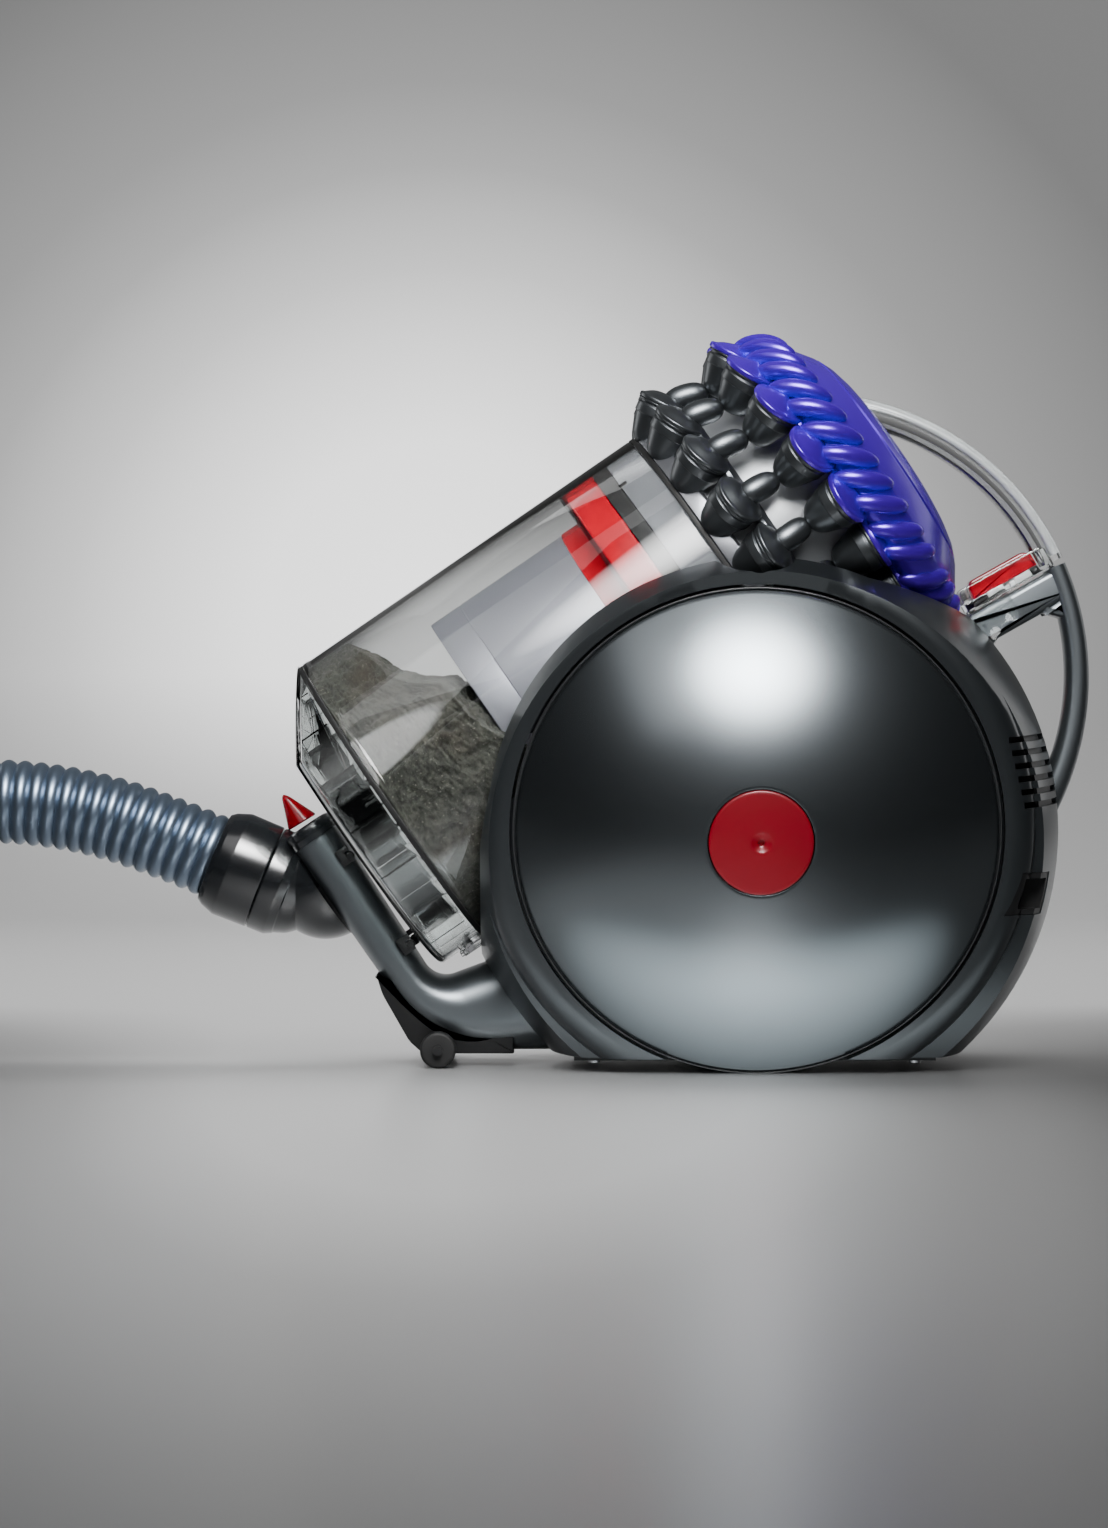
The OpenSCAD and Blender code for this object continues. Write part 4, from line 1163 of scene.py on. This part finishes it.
    def cover(self) -> None:
        """The violet cover: a domed end, a wall, a scalloped skirt, lids and pairs of fingers."""
        h = self.length / 2
        lid = lathe(fillet(
            [(0.01, h), (13.9, h), (14.2, h + 0.4), (14.2, h + 2.2), (13.6, h + 2.8),
             (11.6, h + 3.1), (8, h + 5.0), (0.01, h + 7)],
            [0, 0.3, 0.3, 0.6, 0.6, 1, 3, 0], 3), 48)
        lids = self.every(lid, self.upper)
        dome_r = np.array([62, 56, 48, 40, 39.2])
        dome_s = np.array([305.0, 307.6, 309.6, 310.8, 310.6])
        wall = lathe(np.vstack([
            fillet([(60.2, 274), (76, 273.2), (84.6, 276.6), (84.2, 287), (81, 291.8),
                    (63, 304.6)], [0, 2, 4, 5, 2.5, 2], 5)[1:],
            np.c_[dome_r, dome_s], [[39.2, 300], [60.2, 298]]]), 192)
        parts = [wall]
        angle = np.radians(np.linspace(-178, 178, 500))
        a = np.abs(np.degrees(angle))
        dip = self.scallop(a, self.turns)
        ring = np.interp(a, self.turns, self.rings)
        lean = np.interp(a, self.turns, self.leans) / 30
        r_out = ring + 2.0 + 7.5 * dip * lean
        s_edge = self.upper + 12.6 - 3.4 * dip * lean
        rows = [self.ring_point(angle, r_out - 0.6, s_edge - 0.8),
                self.ring_point(angle, r_out, s_edge + 0.2),
                self.ring_point(angle, r_out - 0.4, s_edge + 1.6),
                self.ring_point(angle, r_out - 4 * lean - 2, s_edge + 4.4),
                self.ring_point(angle, 0 * a + 74, 0 * a + 280),
                self.ring_point(angle, 0 * a + 74, 0 * a + 275)]
        parts.append(grid(np.stack(rows, 1), False, True, caps=True))
        for side in (-1, 1):
            for turn, lean_d in zip(self.turns, self.leans):
                k = lean_d / 30
                for offset in (-8.0, 1.6):
                    p = [self.ring_spot(math.radians(side * (turn + offset + more)), r, s)
                         for more, r, s in ((0.0, 79 + 9 * k, 270.5 + 1.5 * (1 - k)),
                                            (6.0, 86.5 + 6.5 * k, 284), (14.0, 78.5, 294.5))]
                    parts.append(self.finger(*p, 4.7))
        tongue = sweep(np.array([[78, 0, 287], [86, 0, 290.5], [96, 0, 292.5]], float),
                       superellipse(9, 1.2, 3, 20), (0, 1, 0))
        skin("violet_cover", lids + joined(parts + [tongue]).moved(BIN),
                   Finishes.VIOLET, Body.BIN, "violet", 42)
        skin("end_cap", lathe(fillet(
            [(0.01, 300), (38.9, 300), (38.9, 310.2), (37.8, 311), (34, 311.2), (33, 310.6),
             (30, 310.6), (0.01, 311.3)], [0, 0.3, 0.6, 0.5, 0.4, 0.3, 1, 0], 3), 96)
            .moved(BIN), Finishes.CAP, Body.BIN, "cap_silver")


# ---------------------------------------------------------------- handles
@dataclass
class CarryHandle:
    """The clear carrying arc, its insert, the clear bar and cheeks, and the red button."""

    r: float = 137.5
    width: float = 24.0
    thick: float = 14.0

    def arc_path(self, start: float, end: float, r: float, steps: int) -> Array:
        """The arc's middle line, in its own frame."""
        line = arc((0, 0), r, start, end, steps)
        return np.c_[line, np.zeros(len(line))]

    def build(self) -> None:
        """Builds the clear arc round its insert, then the bar and the button."""
        path = self.arc_path(24.8, 80.5, self.r, 72)
        outer = superellipse(self.width / 2, self.thick / 2, 2.7, 40)
        shell = sweep(path, outer, (0, 0, 1)).moved(ARC)
        skin("carry_handle", shell, Finishes.CLEAR, Body.BIN, "clear", 40)
        core = sweep(self.arc_path(26, 79.5, self.r + 2.6, 64),
                     superellipse(self.width / 2 - 3.2, 2.0, 3, 28), (0, 0, 1)).moved(ARC)
        skin("handle_core", core, Finishes.INSERT, Body.BIN, "button_grey", 40)
        strip = sweep(self.arc_path(26, 79.5, self.r - 4.6, 64),
                      superellipse(self.width / 2 - 5, 0.7, 3, 24), (0, 0, 1)).moved(ARC)
        make_piece("handle_strip", strip, Finishes.RUBBER, Body.BIN, "button_grey", (), 40)
        bar = fillet([(-6, 0.6), (43.5, 0.6), (43.5, 11), (41, 13.2), (-4, 13.2), (-6, 11)],
                     [0.5, 0.5, 1, 1.5, 1.5, 1], 3)
        pocket = fillet([(-2.4, 1.8), (38.6, 1.8), (38.6, 12.4), (-2.4, 12.4)], 0.8, 3)
        walls = slab(bar, 8.2, 11.6, 0.5, 2) + slab(bar, -11.6, -8.2, 0.5, 2)
        ends = rounded_box((50, 1.3, 16.0), (18.6, 1.25, 0), 0.3, 0.2) \
            + rounded_box((2.6, 10, 16.0), (41.4, 6.5, 0), 0.3, 0.2)
        cheek = fillet([(-6, 6), (16, 6), (16.4, -9.4), (14.4, -13.9), (7.7, -12),
                        (-2.9, -19), (-7, -11), (-6, 1)], [1, 1, 1, 1, 2, 1, 2, 1], 3)
        cheeks = slab(cheek, 11.5, 13.3, 0.4, 2) + slab(cheek, -13.3, -11.5, 0.4, 2)
        make_piece("handle_bar_clear", (walls + ends + cheeks).moved(STRUT_SIDE), Finishes.CLEAR,
                   Body.BIN, "clear")
        button = fillet([(0.8, 5.6), (36, 5.6), (36, 12.6), (33, 14.9), (2.5, 14.9), (0.8, 13)],
                        [0.5, 0.5, 2, 2, 1.5, 1], 4)
        skin("release_button", slab(button, -6.6, 6.6, 1.2, 4).moved(STRUT_SIDE),
                   Finishes.RED, Body.RELEASE, "red_gloss", 40)
        works = joined([rounded_box((9, 3.2, 12), (27, 3.9, 0), 0.8, 0.5),
                        rounded_box((12, 1.8, 10), (14, 3.4, 0), 0.6, 0.4),
                        rounded_box((3, 2.8, 14), (21, 3.6, 0), 0.6, 0.4)])
        make_piece("release_lever", works.moved(STRUT_SIDE), Finishes.WHITE, Body.BIN,
                   "button_grey")
        dark = joined([rounded_box((4, 2.8, 13), (33.5, 3.6, 0), 0.6, 0.4),
                       rounded_box((7, 1.4, 11), (4.5, 2.9, 0), 0.5, 0.3)])
        make_piece("release_spring_seat", dark.moved(STRUT_SIDE), Finishes.BLACK, Body.BIN,
                   "button_grey")


@dataclass
class RearHandle:
    """The dark lower arc and the strut that carries the clear bar."""

    r: float = 138.5

    def build(self) -> None:
        """Builds the arc, the strut, and the web that rounds the corner between them."""
        line = arc((0, 0), self.r, -28.5, 23.6, 60)
        t = np.linspace(0, 1, 60)
        half = 6 + 1.2 * (1 - t) ** 3
        ring = superellipse(12, 1, 2.6, 40)
        section = ring[None] * np.stack([np.ones(60), half], 1)[:, None]
        grip = sweep(np.c_[line, np.zeros(60)], section, (0, 0, 1)).moved(ARC)
        bar = fillet([(-15, -0.4), (41, -0.4), (44.5, -3.5), (44, -16), (33, -17.2),
                      (8, -17.2), (-15, -17.2)], [0.5, 1, 2, 2, 9, 2, 0.5], 4)
        strut = slab(bar, -10.9, 10.9, 3.2, 5).moved(STRUT_SIDE)
        web = fillet([(26, -16.0), (41.5, -14), (40.2, -26), (38.4, -33), (36.8, -27)],
                     [1, 1, 1, 1, 7], 5)
        corner = slab(web, -10.4, 10.4, 3.4, 4).moved(STRUT_SIDE)
        skin("rear_handle", grip + strut + corner, Finishes.DUCT, Body.MACHINE, "ball_shell", 40)


# ---------------------------------------------------------------- the ball
@dataclass
class Ball:
    """The casing of the ball and what is fitted to it."""

    cad_skins: tuple[tuple[str, Finish, str], ...] = field(default_factory=lambda: (
        ("casing_near", Finishes.BALL, "ball_shell"),
        ("casing_far", Finishes.BALL, "ball_shell"),
        ("bin_cradle", Finishes.BLACK, "black_plastic"),
        ("underplate", Finishes.BLACK, "black_plastic"),
        ("louvre_screen", Finishes.BLACK, "black_plastic"),
        ("cable_outlet", Finishes.BLACK, "black_plastic")))
    plain: tuple[tuple[str, Finish], ...] = field(default_factory=lambda: (
        ("axle_near", Finishes.STEEL), ("axle_far", Finishes.STEEL),
        ("motor_bucket", Finishes.BLACK), ("motor_mounts", Finishes.RUBBER),
        ("motor", Finishes.GREY), ("exhaust_filter", Finishes.FELT),
        ("reel_bracket", Finishes.STEEL), ("case_screws", Finishes.STEEL),
        ("impeller", Finishes.STEEL), ("cable_reel", Finishes.BLACK)))
    centre: Triple = (56.5, 0, 118.448)
    crown: float = 152.8
    crown_arc: float = 207.1
    lip: tuple[float, float, float] = (124.5, 1.5, 13.0)
    well_r: float = 121.5
    button_turn: float = 64.0

    def true_normals(self, mesh: bpy.types.Mesh) -> None:
        """Gives every corner of the casing the normal of the true surface that it lies on.

        The surfaces are the barrel (an arc turned about the wheels' line) and, about each
        wheel, the flat of its arch, the arch's round, its skirt and its well. A corner takes
        the nearest one that agrees with its face; any other keeps its face's own.
        """
        n = len(mesh.loops)
        corner, faces = np.empty(n, np.int32), len(mesh.polygons)
        mesh.loops.foreach_get("vertex_index", corner)
        points, normals = np.empty(len(mesh.vertices) * 3), np.empty(faces * 3)
        mesh.vertices.foreach_get("co", points)
        mesh.polygons.foreach_get("normal", normals)
        sides = np.empty(faces, np.int32)
        mesh.polygons.foreach_get("loop_total", sides)
        at = points.reshape(-1, 3)[corner] * 1000
        own = np.repeat(normals.reshape(-1, 3), sides, axis=0)
        found: list[tuple[Array, Array]] = []

        def local(place: Place) -> list[Array]:
            """Each corner's coordinates in a frame."""
            return [(at - np.array(place.origin)) @ np.array(a)
                    for a in (place.x, place.y, place.z)]

        def add(place: Place, gap: Any, radial: Any, axial: Any) -> None:
            """Adds a surface turned about a frame's z axis, from its slope at each corner."""
            x, y, _ = local(place)
            r = np.hypot(x, y)[:, None]
            out = (x[:, None] * np.array(place.x)
                   + y[:, None] * np.array(place.y)) / np.maximum(r, 1e-6)
            slope = np.broadcast_to(radial, (n,))[:, None] * out \
                + np.broadcast_to(axial, (n,))[:, None] * np.array(place.z)
            found.append((np.abs(gap), unit(slope)))

        def spun(place: Place) -> tuple[Array, Array]:
            """Each corner's radius and height in a frame."""
            x, y, z = local(place)
            return np.hypot(x, y), z

        ball = Place(self.centre, (1, 0, 0), (0, 0, 1), (0, -1, 0))
        r, h = spun(ball)
        u = r - (self.crown - self.crown_arc)
        add(ball, np.hypot(u, h) - self.crown_arc, u, h)
        middle, top, turn = self.lip
        for side in (-1, 1):
            place = wheel_place(side)
            r, h = spun(place)
            u, v = r - middle, h - top + turn
            add(place, np.hypot(u, v) - turn, u, v)
            q = math.radians(8)
            start = (turn * math.cos(q), turn * math.sin(q))
            run = np.array([420 - middle - start[0], -50 - start[1]])
            run /= np.linalg.norm(run)
            add(place, (u - start[0]) * -run[1] + (v - start[1]) * run[0], -run[1], run[0])
            add(place, h - top, 0.0, 1.0)
            add(place, r - self.well_r, -1.0, 0.0)
        best, pick = np.full(n, 0.3), np.zeros((n, 3))
        for gap, slope in found:
            better = (gap < best) & ((slope * own).sum(1) > 0.86)
            best[better], pick[better] = gap[better], slope[better]
        mesh.normals_split_custom_set(pick.tolist())

    def build(self) -> None:
        """Dresses the casing and builds the two foot buttons."""
        for node, finish, slot in self.cad_skins:
            piece = cad_piece(node, finish, Body.MACHINE, slot)
            if node.startswith("casing"):
                self.true_normals(piece.data)
        for node, finish in self.plain:
            wear(node, finish)
        for y, body, finish, node, slot in (
                (38, Body.POWER, Finishes.RED, "power_button", "red_gloss"),
                (66, Body.REWIND, Finishes.GREY, "rewind_button", "button_grey")):
            top = self.crown - self.crown_arc + math.sqrt(self.crown_arc ** 2 - y * y)
            place = turned((self.centre[0], y, self.centre[2]), self.button_turn)
            button = lathe(fillet([(0.01, top - 9), (11, top - 9), (11, top + 2.4),
                                   (9, top + 3.0), (0.01, top + 2.1)],
                                  [0, 0.3, 1.0, 1.2, 0], 4), 64)
            skin(node, button.moved(place), finish, body, slot)


# ---------------------------------------------------------------- the studio
class Sees(Enum):
    """Which rays a panel lights."""

    ALL = 0
    MIRRORS = 1
    MATT = 2


@dataclass(frozen=True)
class Softbox:
    """A glowing panel that only lights and reflects.

    It glows most round a core, given in shares of its width and height, and falls to a rest
    from an inner to an outer distance off it; soft is how far in its lower and side edges fade.
    """

    name: str
    centre: Triple
    aim: Triple
    width: float
    height: float
    glow: float
    rest: float = 1.0
    core: tuple[float, float] = (0.5, 0.5)
    reach: tuple[float, float] = (0.2, 0.8)
    soft: float = 0.02
    tone: Rgb = (1.0, 1.0, 1.0)
    sees: Sees = Sees.ALL

    def hang(self) -> None:
        """Hangs the panel square to its aim, with its width level."""
        c, a = np.array(self.centre), np.array(self.aim)
        n = (a - c) / np.linalg.norm(a - c)
        side = np.cross(n, [0, 0, 1.0])
        side /= np.linalg.norm(side)
        up = np.cross(side, n)
        corners = [c + sx * side * self.width / 2 + sy * up * self.height / 2
                   for sx, sy in ((-1, -1), (1, -1), (1, 1), (-1, 1))]
        mesh = bpy.data.meshes.new(self.name)
        mesh.from_pydata([tuple(p) for p in corners], [], [(3, 2, 1, 0)])
        uv = mesh.uv_layers.new(name="uv")
        uv.data.foreach_set("uv", [0, 1, 1, 1, 1, 0, 0, 0])
        panel = bpy.data.objects.new(self.name, mesh)
        bpy.context.scene.collection.objects.link(panel)
        p = Paint(self.name + "_glow")
        u, v, _ = p.split(p.node("ShaderNodeUVMap"))
        across, along = (u - self.core[0]) * self.width, (v - self.core[1]) * self.height
        r = p.node("ShaderNodeMath", {"operation": "SQRT"},
                   {0: across * across + along * along})
        strength = self.rest + (1 - self.rest) * (1 - r.above(*self.reach))
        edge = v.above(0, self.soft) * u.above(0, self.soft) * (1 - u).above(0, self.soft)
        facing = p.node("ShaderNodeNewGeometry", out="Backfacing")
        light = p.node("ShaderNodeEmission", {}, {
            "Color": (*self.tone, 1), "Strength": strength * edge * self.glow * (1 - facing)})
        mesh.materials.append(p.finish(light))
        panel.visible_camera = False
        panel.visible_shadow = False
        panel.visible_diffuse = self.sees is not Sees.MIRRORS
        panel.visible_glossy = self.sees is not Sees.MATT
        panel.visible_transmission = self.sees is not Sees.MATT


@dataclass
class Studio:
    """The camera, the pale floor running up into a backdrop, and the softboxes."""

    eye: Triple = (-0.046, -2.285, 0.174)
    lens: float = 105.8
    shift_y: float = -0.0288
    # The floor's tones are painted light: a pool lightest round the machine that darkens into
    # painted shade towards the far corners.
    floor_light_pool_stops: tuple[tuple[float, float], ...] = (
        (0.0, 0.80), (0.29, 0.70), (0.42, 0.40), (0.57, 0.22), (0.67, 0.12))
    # The wall's glow is painted light, brightest just behind the machine and fading towards the
    # top and sides.
    wall_glow_stops: tuple[tuple[float, float], ...] = (
        (0.0, 1.0), (0.18, 0.88), (0.38, 0.43), (0.5, 0.25), (0.6, 0.18), (0.85, 0.10))

    def camera(self) -> None:
        """A level camera that looks along +Y."""
        data = bpy.data.cameras.new("camera")
        data.lens, data.sensor_width, data.shift_y = self.lens, 36, self.shift_y
        data.clip_start, data.clip_end = 0.05, 50
        camera = bpy.data.objects.new("camera", data)
        camera.location = self.eye
        camera.rotation_euler = (math.pi / 2, 0, 0)
        bpy.context.scene.collection.objects.link(camera)
        bpy.context.scene.camera = camera

    def floor(self) -> None:
        """A floor that turns up into a wall: y runs back, then round a quarter circle, then up."""
        q = np.radians(np.linspace(0, 90, 24))
        y = np.r_[-5.0, -2.5, -1.4, np.linspace(-1.0, 1.6, 12), 1.6 + 1.2 * np.sin(q)]
        z = np.r_[np.zeros(15), 1.2 - 1.2 * np.cos(q)]
        y, z = np.r_[y, 2.8, 2.8], np.r_[z, 2.4, 4.5]
        x = np.linspace(-5, 5, 21)
        rows = np.stack(np.broadcast_arrays(x[None, :], y[:, None], z[:, None]), -1)
        shape = grid(rows)
        mesh = bpy.data.meshes.new("floor")
        mesh.from_pydata(shape.points.tolist(), [], shape.faces[0].tolist())
        mesh.polygons.foreach_set("use_smooth", [True] * len(mesh.polygons))
        floor = bpy.data.objects.new("floor", mesh)
        bpy.context.scene.collection.objects.link(floor)
        p = Paint("studio_floor")
        x, y, z = p.split(p.spot())
        # Mirror rays see the floor in front of the machine almost black: painted shade in
        # reflections.
        front = 1 - y.above(-0.55, -0.15)
        mirrored = p.node("ShaderNodeLightPath", out="Is Glossy Ray")
        dim = 1 - mirrored * front * 0.95

        def away(cx: float, cy: float, cz: float, scale: Triple) -> Wire:
            """Distance from a point, with each axis scaled."""
            offset = p.node("ShaderNodeVectorMath", {"operation": "SUBTRACT"},
                            {0: p.node("ShaderNodeCombineXYZ", {}, {0: x, 1: y, 2: z}),
                             1: (cx, cy, cz)})
            return p.node("ShaderNodeVectorMath", {"operation": "LENGTH"}, {
                0: p.node("ShaderNodeVectorMath", {"operation": "MULTIPLY"},
                          {0: offset, 1: scale})}, out="Value")

        def ramp(value: Wire, stops: Sequence[tuple[float, float]]) -> Wire:
            """A grey that follows the stops."""
            return p.node("ShaderNodeValToRGB", {
                "stops": [(at, (grey, grey, grey)) for at, grey in stops]}, {0: value})

        # The floor's colour is a painted pool of light, lightest round and behind the machine and
        # darker with distance; the wall's own colour is dark so that only its painted glow shows.
        behind = y.above(-0.1, 0.5)
        rim = away(-0.08, 0.0, 0.0, (2.2, 0.45, 0.0))
        wall = z.above(0.0, 0.22)
        tone = ramp(rim * (1 - behind) + behind * 0.25, self.floor_light_pool_stops)
        tone = p.mix(wall, tone, (0.06, 0.06, 0.06))
        # Painted shade: the floor's colour goes black where mirror rays see it in front of the
        # machine.
        seen = p.mix(dim, (0.0, 0.0, 0.0), tone)
        # The wall glows with a painted gradient of light round a spot behind the machine; mirror
        # rays see it dimmer.
        painted_wall_glow = ramp(away(-0.17, 0.0, 0.294, (1.0, 0.0, 1.0)), self.wall_glow_stops)
        painted_wall_glow = p.mix(wall * (1 - mirrored * 0.62), (0.0, 0.0, 0.0), painted_wall_glow)
        # A painted reflection: a bright pool on the floor near the machine's front that only
        # mirror rays see.
        painted_reflection_pool = mirrored * (1 - away(0.06, -0.13, 0.0, (0.75, 2.6, 0.0)).above(0.02, 0.17))
        glow = p.mix(painted_reflection_pool, painted_wall_glow, (1.5, 1.64, 1.68))
        surface = p.shader(Base_Color=seen, Roughness=0.3, Specular_IOR_Level=0.5,
                           Emission_Color=glow, Emission_Strength=2.2)
        reverse = p.node("ShaderNodeNewGeometry", out="Backfacing")
        gone = p.node("ShaderNodeBsdfTransparent")
        mesh.materials.append(p.finish(
            p.node("ShaderNodeMixShader", {}, {0: reverse, 1: surface, 2: gone})))
        if mesh.polygons[0].normal.z < 0:
            mesh.flip_normals()

    def lamps(self) -> None:
        """The softboxes, and the dim room round them."""
        for box in (
                Softbox("key_panel", (-0.175, -0.86, 1.0), (-0.175, -0.3742, 0.1255), 1.55,
                        1.235, 2.7, 0.6, (0.645, 0.5), (0.2, 0.7), 0.14),
                Softbox("key_core", (0.05, -0.90, 0.95), (0.05, -0.4142, 0.0755), 0.9,
                        0.9, 70.0, 0.0, (0.5, 0.5), (0.08, 0.42), 0.02, sees=Sees.MIRRORS),
                Softbox("top_panel", (-0.1, 0.75, 1.75), (0.0, 0.1, 0.1), 2.8, 1.3, 4.0,
                        sees=Sees.MATT),
                Softbox("left_panel", (-1.7, 1.1, 0.75), (0.0, 0.0, 0.15), 0.8, 1.1, 2.5),
                Softbox("right_panel", (1.7, 1.5, 0.8), (0.1, 0.0, 0.15), 0.9, 1.3, 1.0)):
            box.hang()
        world = bpy.data.worlds.new("room")
        world.use_nodes = True
        world.node_tree.nodes["Background"].inputs["Color"].default_value = (0.5, 0.52, 0.55, 1)
        world.node_tree.nodes["Background"].inputs["Strength"].default_value = 0.04
        bpy.context.scene.world = world

    def build(self) -> None:
        """Sets up the floor and the lamps."""
        self.floor()
        self.lamps()


def main() -> None:
    """Builds the camera first, then each sub-assembly in order."""
    logging.basicConfig(level=logging.INFO, format="%(name)s: %(message)s")
    studio = Studio()
    studio.camera()
    assemblies: list[Any] = [
        Hose(), Elbow(), Duct(), Ball(),
        Wheel(-1, Body.NEAR_WHEEL, "near"), Wheel(1, Body.FAR_WHEEL, "far"),
        Bin(), Cyclones(), CarryHandle(), RearHandle(), studio]
    for assembly in assemblies:
        log.info("building %s", type(assembly).__name__)
        assembly.build()
    bpy.context.view_layer.update()


if __name__ == "__main__":
    main()
